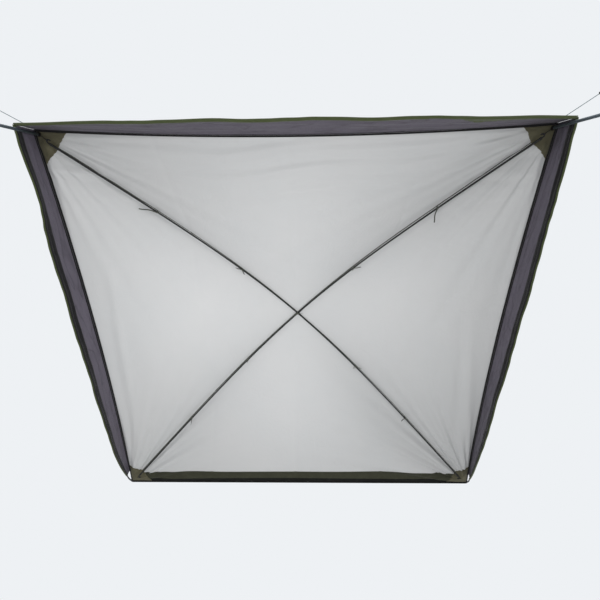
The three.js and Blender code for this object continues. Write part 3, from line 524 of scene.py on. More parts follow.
def band(name: str, low: Array, high: Array, finishes: list[Finish]) -> Piece:
    """Makes a sheet with thickness from two grids of points, with the first finish below.

    Args:
        name: The piece's name.
        low: The grid of the underside, in millimetres.
        high: The grid of the top.
        finishes: One finish, or one for the underside and one for the top.

    Returns:
        The piece, with a UV map along its columns and rows.
    """
    rows, columns = low.shape[:2]
    count = rows * columns
    faces, slots = [], []
    for i in range(rows - 1):
        for j in range(columns - 1):
            a, b = i * columns + j, (i + 1) * columns + j
            faces += [(a, a + 1, b + 1, b), (a + count, b + count, b + count + 1, a + count + 1)]
            slots += [0, len(finishes) - 1]
    for a, b in rim_of(rows, columns):
        faces.append((b, a, a + count, b + count))
        slots.append(len(finishes) - 1)
    points = np.concatenate([low.reshape(-1, 3), high.reshape(-1, 3)])
    piece = new_object(name, points, faces, finishes, slots)
    along = lengths(low[rows // 2])
    across = lengths(low[:, columns // 2])
    places = np.stack(np.broadcast_arrays(along[None, :], across[:, None]), axis=-1).reshape(-1, 2)
    set_uv(piece.data, np.concatenate([places, places]))
    face_outwards(piece.data)
    return piece


def frames_along(points: Array, up: Triple = (0, 0, 1)) -> Array:
    """Finds directions along a path.

    Args:
        points: The path, in millimetres.
        up: The direction that the frames keep up.

    Returns:
        For each point the directions along, across and up.
    """
    along = np.gradient(points, axis=0)
    along /= np.linalg.norm(along, axis=1)[:, None]
    across = np.cross(np.asarray(up, float), along)
    across /= np.maximum(np.linalg.norm(across, axis=1)[:, None], 1e-9)
    return np.stack([along, across, np.cross(along, across)], axis=1)


def rounded_path(points: Array, count: int) -> Array:
    """Runs a smooth curve through points and spaces new points evenly on it.

    Args:
        points: The points that the curve goes through.
        count: The number of points to return.

    Returns:
        The new points.
    """
    ends = np.concatenate([[2 * points[0] - points[1]], points, [2 * points[-1] - points[-2]]])
    fine = []
    for p0, p1, p2, p3 in zip(ends, ends[1:], ends[2:], ends[3:]):
        for t in np.linspace(0, 1, 12, endpoint=False):
            fine.append(0.5 * (2 * p1 + (p2 - p0) * t + (2 * p0 - 5 * p1 + 4 * p2 - p3) * t * t
                               + (3 * p1 - p0 - 3 * p2 + p3) * t ** 3))
    fine = np.array([*fine, points[-1]])
    travelled = lengths(fine)
    stops = np.linspace(0, travelled[-1], count)
    return np.stack([np.interp(stops, travelled, fine[:, k]) for k in range(3)], axis=1)


def tube(name: str, points: Array, radius: float | Array, finish: Finish, sides: int = 12,
         up: Triple = (0, 0, 1)) -> Piece:
    """Makes a solid round rod along a path.

    Args:
        name: The piece's name.
        points: The rod's axis, in millimetres.
        radius: One radius, or one for each point.
        finish: The rod's finish.
        sides: The number of its faces round.
        up: A direction that the path never takes.

    Returns:
        The rod.
    """
    cos, sin = (part[None, :, None] for part in circle(sides))
    frames = frames_along(points, up)
    reach = np.broadcast_to(radius, len(points))[:, None, None]
    rings = points[:, None, :] + reach * cos * frames[:, None, 1] + reach * sin * frames[:, None, 2]
    return loft(name, rings, [finish])


def ribbon(name: str, points: Array, flat: Array, width: float, thickness: float,
           finish: Finish, closed_path: bool = False) -> Piece:
    """Makes a flat band along a path.

    Args:
        name: The piece's name.
        points: The middle of the band.
        flat: The direction of the band's width at each point.
        width: The band's width in millimetres.
        thickness: The band's thickness in millimetres.
        finish: The band's finish.
        closed_path: Whether the band goes round and meets itself.

    Returns:
        The band.
    """
    along = np.gradient(points, axis=0)
    if closed_path:
        along = np.roll(points, -1, axis=0) - np.roll(points, 1, axis=0)
    along /= np.linalg.norm(along, axis=1)[:, None]
    flat = np.broadcast_to(flat, points.shape)
    flat = flat / np.linalg.norm(flat, axis=1)[:, None]
    thick = np.cross(along, flat)
    corners = [(-1, -1), (-0.5, -1), (0.5, -1), (1, -1), (1, 1), (0.5, 1), (-0.5, 1), (-1, 1)]
    rings = np.stack([points + flat * width / 2 * a + thick * thickness / 2 * b for a, b in corners], axis=1)
    return loft(name, rings, [finish], closed_path=closed_path)


@dataclass(frozen=True)
class Place:
    """A point with directions of its own: onward, sideways and up."""

    origin: Array
    onward: Array
    sideways: Array
    up: Array

    @staticmethod
    def standing(x: float, y: float, turn: float = 0.0) -> "Place":
        """Makes a place at x and y and at zero height, its onward direction turned from +X."""
        cos, sin = math.cos(turn), math.sin(turn)
        return Place(*map(np.array, ([x, y, 0.0], [cos, sin, 0.0], [-sin, cos, 0.0], [0.0, 0.0, 1.0])))

    def at(self, onward: Array | float, sideways: Array | float = 0.0, up: Array | float = 0.0) -> Array:
        """Finds points by their distances along the place's directions.

        Args:
            onward: The distances onward, in millimetres.
            sideways: The distances sideways.
            up: The distances up.

        Returns:
            The points.
        """
        onward, sideways, up = np.broadcast_arrays(*(np.asarray(v, float) for v in (onward, sideways, up)))
        return (self.origin + onward[..., None] * self.onward + sideways[..., None] * self.sideways
                + up[..., None] * self.up)

    def reversed(self) -> "Place":
        """Returns the place turned half round its own up direction."""
        return Place(self.origin, -self.onward, -self.sideways, self.up)


def lathe(name: str, profile: Sequence[tuple[float, float]], axis: Place, finish: Finish,
          sides: int = 36) -> Piece:
    """Turns a closed profile round an axis.

    Args:
        name: The piece's name.
        profile: Radius and height of each corner, in millimetres, all round the section.
        axis: The place whose up direction is the axis.
        finish: The piece's finish.
        sides: The number of faces round it.

    Returns:
        The piece, shaded smooth round it and sharp at its corners.
    """
    cos, sin = (part[:, None] for part in circle(sides))
    radius, height = np.array(profile, float).T[:, None, :]
    points = axis.at(cos * radius, sin * radius, height)
    piece = loft(name, points, [finish], closed_path=True)
    merge(piece)
    piece.data.set_sharp_from_angle(angle=math.radians(35))
    return piece


def merge(piece: Piece) -> None:
    """Joins the points of a mesh that lie together, as on an axis, and drops its empty faces.

    Args:
        piece: The piece.
    """
    work = bmesh.new()
    work.from_mesh(piece.data)
    bmesh.ops.remove_doubles(work, verts=work.verts, dist=1e-6)
    bmesh.ops.dissolve_degenerate(work, edges=work.edges, dist=1e-7)
    work.to_mesh(piece.data)
    work.free()


def join(name: str, parts: list[Piece]) -> Piece:
    """Joins several objects to one piece.

    Args:
        name: The name of the piece.
        parts: The objects, which go.

    Returns:
        The piece.
    """
    with bpy.context.temp_override(active_object=parts[0], object=parts[0], selected_editable_objects=parts,
                                   selected_objects=parts):
        bpy.ops.object.join()
    parts[0].name = parts[0].data.name = name
    return parts[0]


def settle(piece: Piece, body: str, finish: Finish, *nodes: str) -> Piece:
    """Fixes a piece to its body and reports it.

    Args:
        piece: The finished piece.
        body: The body that it moves with.
        finish: The finish whose slot it takes.
        *nodes: The CAD nodes that it stands for.

    Returns:
        The piece.
    """
    if body:
        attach(piece, body)
    if nodes:
        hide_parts(*nodes)
    log.info("%s: %d faces, on %s", piece.name, len(piece.data.polygons), body or "two bodies")
    return piece
# Folds that fan out of a corner: its side and end, their height and reach in mm, and their phase.
FANS = ((-1, -1, 3.6, 640, 0.4), (1, -1, 5.0, 800, 1.9), (-1, 1, 6.0, 480, 3.1), (1, 1, 10.0, 480, 4.4))
# The waves of a fan: how many to the radian, and their share of its height.
FAN_WAVES = ((34, 1.0), (57, 0.7), (21, 0.5))
# Creases of packing along the depth: their x in mm and their lean.
PACKING_CREASES = ((-668.0, 0.02), (-18.0, 0.0), (640.0, -0.02))
# Soft folds beside the side seams: x, lean, middle, length and depth in mm.
SEAM_FOLDS = ((1102, 0.096, -640, 420, 13), (-1107, -0.053, -950, 560, 7))


@dataclass
class Dome:
    """The shape of the four panels: where the cloth's underside lies."""

    width: float = 2500.0
    depth: float = 2320.0
    rise: float = 503.5
    front_bow: float = 36.0
    side_bow: float = 30.0
    lift: float = 12.0
    sag: float = 35.0
    flat_border: float = 0.965
    border_gain: float = 0.027
    wave_inset: float = 120.0
    wave_reach: float = 190.0
    plain_border: float = 0.035
    fullness: float = 0.03
    skew: float = 1.5
    cloth: float = 1.2
    tension: float = 6.0
    crease: float = 2.4
    billow: float = 2.0

    @property
    def half_width(self) -> float:
        """Half the awning's width."""
        return self.width / 2

    @property
    def half_depth(self) -> float:
        """Half the awning's depth."""
        return self.depth / 2

    def ridge(self, share: Array, border: Array | float | None = None) -> Array:
        """Returns the height over the poles for shares from the crown to the corner, flat past the border."""
        turn = np.minimum(share / (self.flat_border if border is None else border), 1) * math.pi / 2
        return self.rise * (np.cos(turn) + self.fullness * np.sin(2 * turn) ** 2)

    def smooth(self, u: Array, v: Array) -> Array:
        """Finds the cloth's underside without its folds.

        Args:
            u: Place across the awning, from -1 at the left edge to 1 at the right.
            v: Place along it, from -1 at the outer edge to 1 at the held edge.

        Returns:
            The points, in millimetres.
        """
        u, v = np.broadcast_arrays(np.asarray(u, float), np.asarray(v, float))
        share = np.maximum(abs(u), abs(v))
        cross = np.minimum(abs(u), abs(v)) / np.maximum(share, 1e-9)
        slack = 1 - cross ** 2
        pull = share ** 6
        at_side = abs(u) > abs(v)
        side_bow = np.where(at_side, self.side_bow, 0)
        front_bow = np.where(~at_side & (v < 0), self.front_bow, 0)
        lift = np.where(at_side | (v < 0), self.lift, 0)
        border = self.flat_border + self.border_gain * slack
        inner = np.minimum(share / border, 1)
        sag = self.sag * np.sin(math.pi * inner ** self.skew)
        return np.stack([
            u * self.half_width - np.sign(u) * side_bow * slack * pull,
            (v - 1) * self.half_depth + front_bow * slack * pull,
            self.ridge(share, border) + slack * (lift * pull - sag),
        ], axis=-1)

    def folds(self, points: Array, u: Array, v: Array) -> Array:
        """Finds how far the cloth's folds lift it.

        Args:
            points: Places on the smooth cloth.
            u: Their place across the awning.
            v: Their place along it.

        Returns:
            The lift of each point, in millimetres.
        """
        x, y = points[..., 0], points[..., 1]
        lift = np.zeros_like(x)
        # Wrinkles that fan out of the corners.
        for side, end, height, reach, phase in FANS:
            across = self.half_width * (1 - side * u)
            along = self.half_depth * (1 - end * v)
            away = np.hypot(across, along)
            turn = np.arctan2(along, across)
            wrinkle = sum(part * np.sin(turn * waves + number * phase)
                          for number, (waves, part) in enumerate(FAN_WAVES, 1))
            lift += height * wrinkle * np.exp(-away / reach) * np.clip(away / 160 - 0.3, 0, 1)
        # Waves along the outer edge, where the cloth is pulled between the corners.
        from_front = self.half_depth * (1 + v)
        level = from_front + 26 * np.sin(x / 310) + 9 * np.sin(x / 127 + 1)
        waves = np.sin(level / 52 * 2 * math.pi / 2.1)
        waves += 0.5 * np.sin(level / 27 * 2 * math.pi / 2.3 + x / 420)
        near_front = np.exp(-((from_front - self.wave_inset) / self.wave_reach) ** 2)
        lift += self.tension * waves * near_front * (0.8 + 0.2 * np.sin(x / 260 + 0.8))
        # Sharp creases of packing, then soft folds by the sides and a slight unevenness all over.
        for fold_x, lean in PACKING_CREASES:
            offset = x - fold_x - lean * (y + self.half_depth)
            lift += self.crease * np.exp(-abs(offset) / 8)
        for reach, lean, middle, length, depth in SEAM_FOLDS:
            soft = (x - reach - lean * (y + 1100 + 250 * (reach < 0))) / 26
            fold = 0.6 * np.exp(-(soft + 1.5) ** 2) - np.exp(-soft ** 2)
            lift += depth * fold * np.exp(-((y - middle) / length) ** 2)
        lift += self.billow * np.sin(x / 170 + y / 390 + 0.6) * np.sin(y / 240 - x / 520)
        share = np.maximum(abs(u), abs(v))
        return lift * np.clip((1 - share) / self.plain_border, 0, 1)

    def cloth_at(self, u: Array, v: Array, rise: float = 0.0) -> Array:
        """Finds the underside of the folded cloth.

        Args:
            u: Place across the awning.
            v: Place along it.
            rise: How far the points lie above the cloth, in millimetres.

        Returns:
            The points.
        """
        u, v = np.broadcast_arrays(np.asarray(u, float), np.asarray(v, float))
        points = self.smooth(u, v)
        points[..., 2] += self.folds(points, u, v) + rise
        return points


class Side(Enum):
    """A free edge of the awning: its outward direction."""

    FRONT = (0, -1)
    LEFT = (-1, 0)
    RIGHT = (1, 0)

    @property
    def word(self) -> str:
        """The side's name in lower case."""
        return self.name.lower()

    def place(self, cross: Array, share: float = 1.0) -> tuple[Array, Array]:
        """Returns u and v at a share from crown to seam and a place along the seam."""
        x, y = self.value
        return x * share + -y * share * cross, y * share + x * share * cross


@dataclass
class Canopy:
    """The dome's cloth with its seam tapes and the binding round its free edges."""

    dome: Dome
    cells: int = 212
    edge_density: float = 0.4
    cloth_end: float = 61.0
    tape_width: float = 10.0
    tape_thickness: float = 0.5
    binding_width: float = 10.0
    binding_thickness: float = 1.2

    def build(self) -> None:
        """Builds and settles the cloth, the tapes and the binding."""
        cloth = self.cloth()
        tapes = self.tapes()
        settle(tapes, "canopy", SEAM_TAPE)
        STITCHING.sew("seam_tape_stitches", self.tape_rows(), PALE_THREAD)
        settle(cloth, "canopy", SILVER_CLOTH, "front_panel", "left_panel", "right_panel", "mount_panel")
        settle(self.binding(), "canopy", BLACK_WEBBING, "seam_binding")
        STITCHING.sew("seam_binding_stitches", self.binding_rows(), THREAD)

    def cloth(self) -> Piece:
        """Makes the continuous cloth, split along its diagonals where the panels meet.

        Returns:
            The cloth.
        """
        dome = self.dome
        end = 1 - self.cloth_end / dome.half_depth
        even = np.linspace(-1, 1, self.cells + 1)
        line = even * (1 + self.edge_density * (1 - abs(even)))
        line[np.argmin(abs(line - end))] = end
        line[np.argmin(abs(line + end))] = -end
        rows = line[line <= end + 1e-9]
        u, v = np.meshgrid(line, rows)
        low = dome.cloth_at(u, v)
        high = low + np.array([0, 0, dome.cloth])
        columns, count = len(line), low[..., 0].size
        faces = []
        for i in range(len(rows) - 1):
            for j in range(columns - 1):
                a, b = i * columns + j, (i + 1) * columns + j
                rising = (rows[i] + rows[i + 1]) * (line[j] + line[j + 1]) > 0
                split = ((a, a + 1, b + 1), (a, b + 1, b)) if rising else ((a, a + 1, b), (a + 1, b + 1, b))
                for p, q, r in split:
                    faces += [(p, r, q), (p + count, q + count, r + count)]
        faces += [(a, b, b + count, a + count) for a, b in rim_of(len(rows), columns)]
        points = np.concatenate([low.reshape(-1, 3), high.reshape(-1, 3)])
        piece = new_object("canopy_cloth", points, faces, [SILVER_CLOTH])
        face_outwards(piece.data)
        return piece

    def tape_grid(self, turn: int, reaches: Array) -> Array:
        """Finds rows of points along the underside of a seam's tape.

        Args:
            turn: 1 for the seam from the left outer corner, -1 for the other.
            reaches: Distances of the rows from the tape's middle, in millimetres.

        Returns:
            The rows of points.
        """
        dome = self.dome
        share = np.linspace(-0.985, 1 - self.cloth_end / dome.half_depth, 240)
        middle = dome.cloth_at(share * turn, share)
        across = np.array([dome.depth * -turn, dome.width, 0]) / math.hypot(dome.width, dome.depth)
        low = middle[None] + reaches[:, None, None] * across
        low[..., 2] -= (0.9 if turn > 0 else 1.6) + 0.4 * abs(reaches[:, None]) / self.tape_width
        return low

    def tapes(self) -> Piece:
        """Makes the tapes under the two diagonal seams.

        Returns:
            The tapes as one piece.
        """
        thickness = np.array([0, 0, self.tape_thickness])
        reaches = np.linspace(-0.5, 0.5, 5) * self.tape_width
        parts = []
        for turn in (1, -1):
            low = self.tape_grid(turn, reaches)
            parts.append(band(f"tape_{turn}", low, low + thickness, [SEAM_TAPE]))
        return join("diagonal_seam_tapes", parts)

    def tape_rows(self) -> list[Array]:
        """Returns the stitch rows along both edges of the tapes."""
        edge = self.tape_width / 2 - 1.2
        return [row for turn in (1, -1) for row in self.tape_grid(turn, np.array([-edge, edge]))]

    def binding(self) -> Piece:
        """Makes the black binding under the three free edges.

        Returns:
            The binding.
        """
        parts = []
        for side in Side:
            high = self.binding_grid(side, np.linspace(self.binding_width, 0.6, 4))
            low = high - np.array([0, 0, self.binding_thickness])
            parts.append(band(f"binding_{side.word}", low, high, [BLACK_WEBBING]))
        return join("seam_binding_tape", parts)

    def binding_grid(self, side: Side, insets: Array) -> Array:
        """Finds rows of points just under the cloth along a free edge.

        Args:
            side: The edge.
            insets: Distances of the rows from the edge, in millimetres.

        Returns:
            The rows of points.
        """
        dome = self.dome
        shares = 1 - insets[:, None] / dome.half_depth
        u, v = side.place(np.linspace(-1, 1, 240)[None, :], shares)
        keep = v[0] < 1 - 8 / dome.half_depth
        return dome.cloth_at(u[:, keep], v[:, keep], -0.3)

    def binding_rows(self) -> list[Array]:
        """Finds the stitch rows along both edges of the binding.

        Returns:
            The rows of points.
        """
        insets = np.array([self.binding_width - 1.5, 2.0])
        drop = np.array([0, 0, self.binding_thickness + 0.1])
        return [row - drop for side in Side for row in self.binding_grid(side, insets)]


@dataclass(frozen=True)
class Hang:
    """How a valance hangs at its side of the awning.

    It bows outwards, is pulled inwards by the held edge and stops short of it, all in millimetres. The
    leg of the seam's binding covers a share of its drop.
    """

    bow: float
    pull: float
    stop: float
    leg_share: float


HANGS = {
    Side.FRONT: Hang(bow=44, pull=0, stop=0, leg_share=0.055),
    Side.LEFT: Hang(bow=38, pull=28, stop=100, leg_share=0.09),
    Side.RIGHT: Hang(bow=38, pull=50, stop=80, leg_share=0.09),
}
# Where the front valance's olive side is turned in: places along the seam and shares of the drop.
FRONT_TURN = ((-1, 0, 0.57, 0.66, 0.9, 1), (0.93, 0.9, 0.93, 0.58, 0.75, 0.93))


@dataclass
class Valance:
    """A hanging valance with its rolled hem, and on the two sides the hem's webbing."""

    dome: Dome
    side: Side
    height: float = 105.0
    hem: float = 13.0
    wave: float = 2.5
    waves: float = 5.0
    end_rise: float = 80.0
    end_length: float = 420.0
    clear_share: float = 0.18
    tuck: Triple = (17.0, 300.0, 150.0)
    gathered: float = 3.5
    gather_reach: float = 420.0
    webbing_top: float = 0.7
    webbing_width: float = 30.0
    webbing_thickness: float = 1.5
    webbing_gap: float = 0.4
    strap_width: float = 9.0
    strap_sag: float = 18.0
    gap: float = 0.3
    corner_stop: float = 0.5
    hem_share: float = 0.85
    stations: int = 300
    rows: int = 24

    @property
    def hang(self) -> Hang:
        """How the valance hangs at its side."""
        return HANGS[self.side]

    @property
    def half_seam(self) -> float:
        """Half the length of its seam."""
        return self.dome.half_width if self.side is Side.FRONT else self.dome.half_depth

    def build(self) -> None:
        """Builds and settles the valance and its webbing."""
        cloth = self.cloth()
        word = self.side.word
        settle(cloth, "canopy", OLIVE_CLOTH, f"{word}_valance")
        if self.side is not Side.FRONT:
            settle(self.webbing(), "canopy", BLACK_WEBBING, f"{word}_hem_webbing")
            settle(self.end_strap(), "canopy", BLACK_WEBBING)
        settle(self.top_binding(), "canopy", BLACK_WEBBING)
        STITCHING.sew(f"{word}_hem_stitches", self.stitch_rows(), THREAD)

    def drop(self, v: Array) -> Array:
        """Finds how far the hem hangs, less near the held edge.

        Args:
            v: Place along the awning, from -1 at the outer edge to 1 at the held edge.

        Returns:
            The distance down, in millimetres.
        """
        if self.side is Side.FRONT:
            return np.full_like(v, self.height)
        past = self.dome.half_depth * (1 - v) - self.hang.stop / 2
        near = np.clip(1 - past / self.end_length, 0, 1)
        return self.height - self.end_rise * near ** 2

    def pull(self, v: Array, share: Array) -> Array:
        """Finds how far the cloth hangs inwards of its seam.

        Args:
            v: Place along the awning, from -1 at the outer edge to 1 at the held edge.
            share: Share of the drop below the seam.

        Returns:
            The distance inwards, in millimetres.
        """
        near = (1 + v) / 2
        low = np.maximum(0, share - self.clear_share) / (1 - self.clear_share)
        pulled = self.hang.pull * near ** 1.5
        if self.side is Side.LEFT:
            depth, place, reach = self.tuck
            pulled = pulled + depth * np.exp(-((near * self.dome.depth - place) / reach) ** 2)
        return pulled * low * self.drop(v) / self.height

    def creases(self, cross: Array, share: Array) -> Array:
        """Finds the small waves of the hanging cloth: lengthwise creases and a rippled hem.

        Args:
            cross: Place along the seam, from -1 to 1.
            share: Share of the drop below the seam.

        Returns:
            The distance outwards, in millimetres.
        """
        slack = np.sqrt(1 - cross ** 2)
        free = share * (1.05 - share)
        gathered = np.exp(-(1 + self.side.place(cross)[1]) * self.dome.half_depth / self.gather_reach)
        ripple = 1.6 * np.sin(cross * 23 + share * 2.1 + 2.2 * np.sin(cross * 5.3 + 1)) * share ** 2
        ripple += 1.0 * np.sin(cross * 47 - share * 3 + 1.9 * np.sin(cross * 11)) * share
        if self.side is Side.FRONT:
            ripple, gathered = ripple * 0.4, 0
        pleats = np.sin(cross * 58 + 2.3 * np.sin(cross * 19))
        ripple = ripple + self.gathered * gathered * pleats * share ** 2
        lengthwise = 4.2 * np.sin(share * 14 + 1.6 * np.sin(cross * 9) + cross * 5) * free
        lengthwise += 3.0 * np.sin(share * 27 - 2.1 * np.sin(cross * 6 + 1)) * free
        return (ripple + lengthwise * (1 + 1.6 * gathered)) * slack

    def point(self, cross: Array, share: Array, outward: Array) -> Array:
        """Finds points on the valance.

        Args:
            cross: Place along the seam, from -1 to 1.
            share: Share of the drop below the seam.
            outward: Distance outwards from the seam's face.

        Returns:
            The points, in millimetres.
        """
        u, v = self.side.place(cross)
        u, v = np.broadcast_arrays(u, v)
        seam = self.dome.smooth(u, v)
        slack = 1 - cross ** 2
        wave = self.wave * np.sin(cross * self.waves * math.pi + share * 0.3) * np.sqrt(slack) * share
        bowed = self.hang.bow * slack * share
        away = outward + bowed + wave + self.creases(cross, share) - self.pull(v, share)
        height = seam[..., 2] + self.dome.cloth + (-self.drop(v) - seam[..., 2] - self.dome.cloth) * share
        x, y = self.side.value
        return np.stack([seam[..., 0] + x * away, seam[..., 1] + y * away, height], axis=-1)

    def crosses(self) -> Array:
        """Finds places along the seam, clear of the next valance and of the held edge.

        Returns:
            The places, from -1 to 1.
        """
        corner = 1 - self.corner_stop / self.half_seam
        mount = 1 - self.hang.stop / self.dome.half_depth
        lowest = -mount if self.side is Side.LEFT else -corner
        highest = mount if self.side is Side.RIGHT else corner
        return np.linspace(lowest, highest, self.stations)

    def turned_hem(self, cross: Array) -> Array:
        """Finds where the olive side is turned in.

        Args:
            cross: Place along the seam.

        Returns:
            The share of the drop below which the olive side shows.
        """
        if self.side is not Side.FRONT:
            return np.full_like(cross, 0.9)
        return np.interp(cross, *FRONT_TURN)

    def cloth(self) -> Piece:
        """Makes the cloth: coated inside in a purple-grey that is painted shade, olive outside and round the
        hem.

        Returns:
            The valance's cloth.
        """
        inner, outer = self.gap, self.gap + self.dome.cloth
        shares = np.linspace(0, 0.86, self.rows)
        turns = 2 * math.pi * np.linspace(0.055, 0.945, 12)
        roll = self.hem / self.height
        profile = [(share, inner) for share in shares]
        profile += [(1 - roll * (1 + math.cos(turn)) / 2, (inner + outer) / 2 - math.sin(turn) * self.hem / 2)
                    for turn in turns]
        profile += [(share, outer) for share in shares[::-1]]
        share = np.array([p[0] for p in profile])
        outward = np.array([p[1] for p in profile])
        cross = self.crosses()
        beside = (1 - abs(cross)) * self.half_seam
        bulge = np.minimum(outward, inner)[None, :] - inner
        away = outward[None, :] - bulge * (1 - np.clip(beside / 9, 0, 1))[:, None]
        rings = self.point(cross[:, None], share[None, :], away)
        facing_in = np.arange(len(profile)) < len(shares) + 4
        # Inward faces above the turned hem take the coating, whose purple-grey is painted shade.
        inside = facing_in[None, :] & (share[None, :] < self.turned_hem(cross)[:, None])
        return loft(f"{self.side.word}_valance_cloth", rings, [OLIVE_CLOTH, SHADED_INSIDE_COATING], inside)

    def webbing_section(self, depth: float) -> Array:
        """Finds one face of the webbing's section: down the valance, then round the hem's inner side.

        Args:
            depth: Distance inwards from the webbing's outer face, in millimetres.

        Returns:
            Rows of a share of the drop and a distance outwards.
        """
        away, radius = self.webbing_gap + depth, self.hem / 2
        hem_top = 1 - self.hem / self.height
        flat = hem_top - self.webbing_top
        shares = np.linspace(self.webbing_top, hem_top - away / self.height, 6)
        first = 2 * math.pi * 0.07
        turns = np.linspace(first, first + (self.webbing_width - flat * self.height) / radius, 9)
        bends = np.stack([1 - (radius + np.cos(turns) * (radius + away)) / self.height,
                          self.gap + self.dome.cloth / 2 - np.sin(turns) * (radius + away)], axis=1)
        return np.concatenate([np.stack([shares, np.full(6, self.gap - away)], axis=1), bends])

    def webbing_grid(self, section: Array) -> Array:
        """Finds points along the webbing.

        Args:
            section: The places of its section: shares of the drop and distances outwards.

        Returns:
            A row of points for each place.
        """
        cross = self.crosses()[None, :]
        keep = self.side.place(cross)[1][0] > -1 + 22 / self.dome.half_depth
        return self.point(cross[:, keep], section[:, :1], section[:, 1:])

    def webbing(self) -> Piece:
        """Makes the black webbing that covers the inner side of the hem."""
        high, low = (self.webbing_grid(self.webbing_section(depth)) for depth in (0, self.webbing_thickness))
        return band(f"{self.side.word}_hem_webbing_tape", low, high, [BLACK_WEBBING])

    def top_binding(self) -> Piece:
        """Makes the leg of the seam's binding that hangs down the inner face.

        Returns:
            The leg.
        """
        cross = self.crosses()
        cross = cross[(1 - abs(cross)) * self.dome.half_depth > 4]
        shares = np.linspace(0.03, self.hang.leg_share, 3)[:, None]
        low, high = (self.point(cross[None, :], shares, np.full((3, 1), self.gap - inward))
                     for inward in (1.4, 0.4))
        return band(f"{self.side.word}_seam_binding_leg", low, high, [BLACK_WEBBING])

    def end_strap(self) -> Piece:
        """Makes the strap that runs on from the hem's webbing to the end of the held edge.

        Returns:
            The strap.
        """
        end = self.crosses()[0 if self.side is Side.LEFT else -1]
        corner = np.sign(end) * (1 - 6 / self.dome.half_depth)
        hem, seam = (self.point(cross, share, self.gap - self.webbing_thickness)
                     for cross, share in ((end, 0.93), (corner, 0.05)))
        share = np.linspace(-0.06, 1, 10)[:, None]
        middle = hem + (seam - hem) * share - np.array([0, 0, self.strap_sag]) * share * (1 - share)
        across = np.cross(seam - hem, (1, 0, 0))
        across *= self.strap_width / 2 / np.linalg.norm(across)
        near = np.stack([middle - across, middle + across])
        far = near + (self.webbing_thickness, 0, 0)
        return band(f"{self.side.word}_end_strap", near, far, [BLACK_WEBBING])

    def stitch_rows(self) -> list[Array]:
        """Finds the stitch rows of the hem, outside and inside, and of the webbing.

        Returns:
            The rows of points.
        """
        cross = self.crosses()
        share = np.full_like(cross, self.hem_share)
        outside, inside = (self.point(cross, share, np.full_like(cross, outward))
                           for outward in (self.gap + self.dome.cloth + 0.1, self.gap - 0.1))
        if self.side is Side.FRONT:
            return [outside, inside]
        section = self.webbing_section(self.webbing_thickness + 0.1)
        return [outside, *self.webbing_grid(section[[1, -2]])]


@dataclass
class HeldEdge:
    """The olive strip and its sleeve round the welt."""

    dome: Dome
    depth: float = 64.0
    thickness: float = 1.2
    sleeve: float = 5.5
    sleeve_reach: float = 26.0
    tail: float = 10.0
    welt_radius: float = 4.5
    stitch_insets: tuple[float, float] = (3.0, 10.0)

    def build(self) -> None:
        """Builds and settles the strip, which bends where it leaves the welt."""
        strip = self.strip()
        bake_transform(strip)
        settle(strip, "", STRIP_IN_PAINTED_SHADE, "mount_strip")
        STITCHING.sew("held_edge_stitches", self.stitch_rows(), THREAD)
        welt = PATH_ROD.rod("edge_welt_cord", self.welt_path(), self.welt_radius, ROPE_CORE, 24)
        settle(welt, "held_edge", ROPE_CORE, "edge_welt")

    def stitch_rows(self) -> list[Array]:
        """Finds the two stitch rows where the strip is sewn to the cloth.

        Returns:
            The rows of points.
        """
        u = np.linspace(-1, 1, 240) * (1 - self.tail / self.dome.half_width)
        return [self.dome.cloth_at(u, 1 - (self.depth - inset) / self.dome.half_depth, -self.thickness - 0.3)
                for inset in self.stitch_insets]

    def welt_path(self) -> Array:
        """Returns the welt's axis, along the held edge."""
        return np.linspace([-self.dome.half_width, 0, 0], [self.dome.half_width, 0, 0], 40)

    def strip(self) -> Piece:
        """Makes the strip with the sleeve that runs round the welt.

        Returns:
            The strip, in its painted-shade olive by the cloth and black round the welt.
        """
        dome = self.dome
        u = np.linspace(-1, 1, 180) * (1 - self.tail / dome.half_width)
        rows = np.linspace(-self.depth - 2, -self.sleeve - 5, 14)
        flat = dome.cloth_at(u[None, :], 1 + rows[:, None] / dome.half_depth, -self.thickness - 0.2)
        flat[..., 2] += np.linspace(0, 1, 14)[:, None] ** 3 * 1.4
        turns = np.radians(np.linspace(172, -160, 22))[:, None]
        radius = self.sleeve - self.thickness / 2
        across = (u * dome.half_width)[None, :]
        cos, sin = np.cos(turns), np.sin(turns)
        round_low = np.stack(np.broadcast_arrays(across, cos * radius, sin * radius), axis=-1)
        out = np.stack(np.broadcast_arrays(0 * across, cos, sin), axis=-1)
        low = np.concatenate([flat, round_low])
        high = np.concatenate([flat + np.array([0, 0, self.thickness]), round_low + out * self.thickness])
        piece = band("held_edge_strip", low, high, [STRIP_IN_PAINTED_SHADE])
        piece.data.materials.append(SLEEVE_CLOTH.material())
        for face in piece.data.polygons:
            face.material_index = int(face.center.y > -self.sleeve_reach * MILLIMETRE)
        return piece


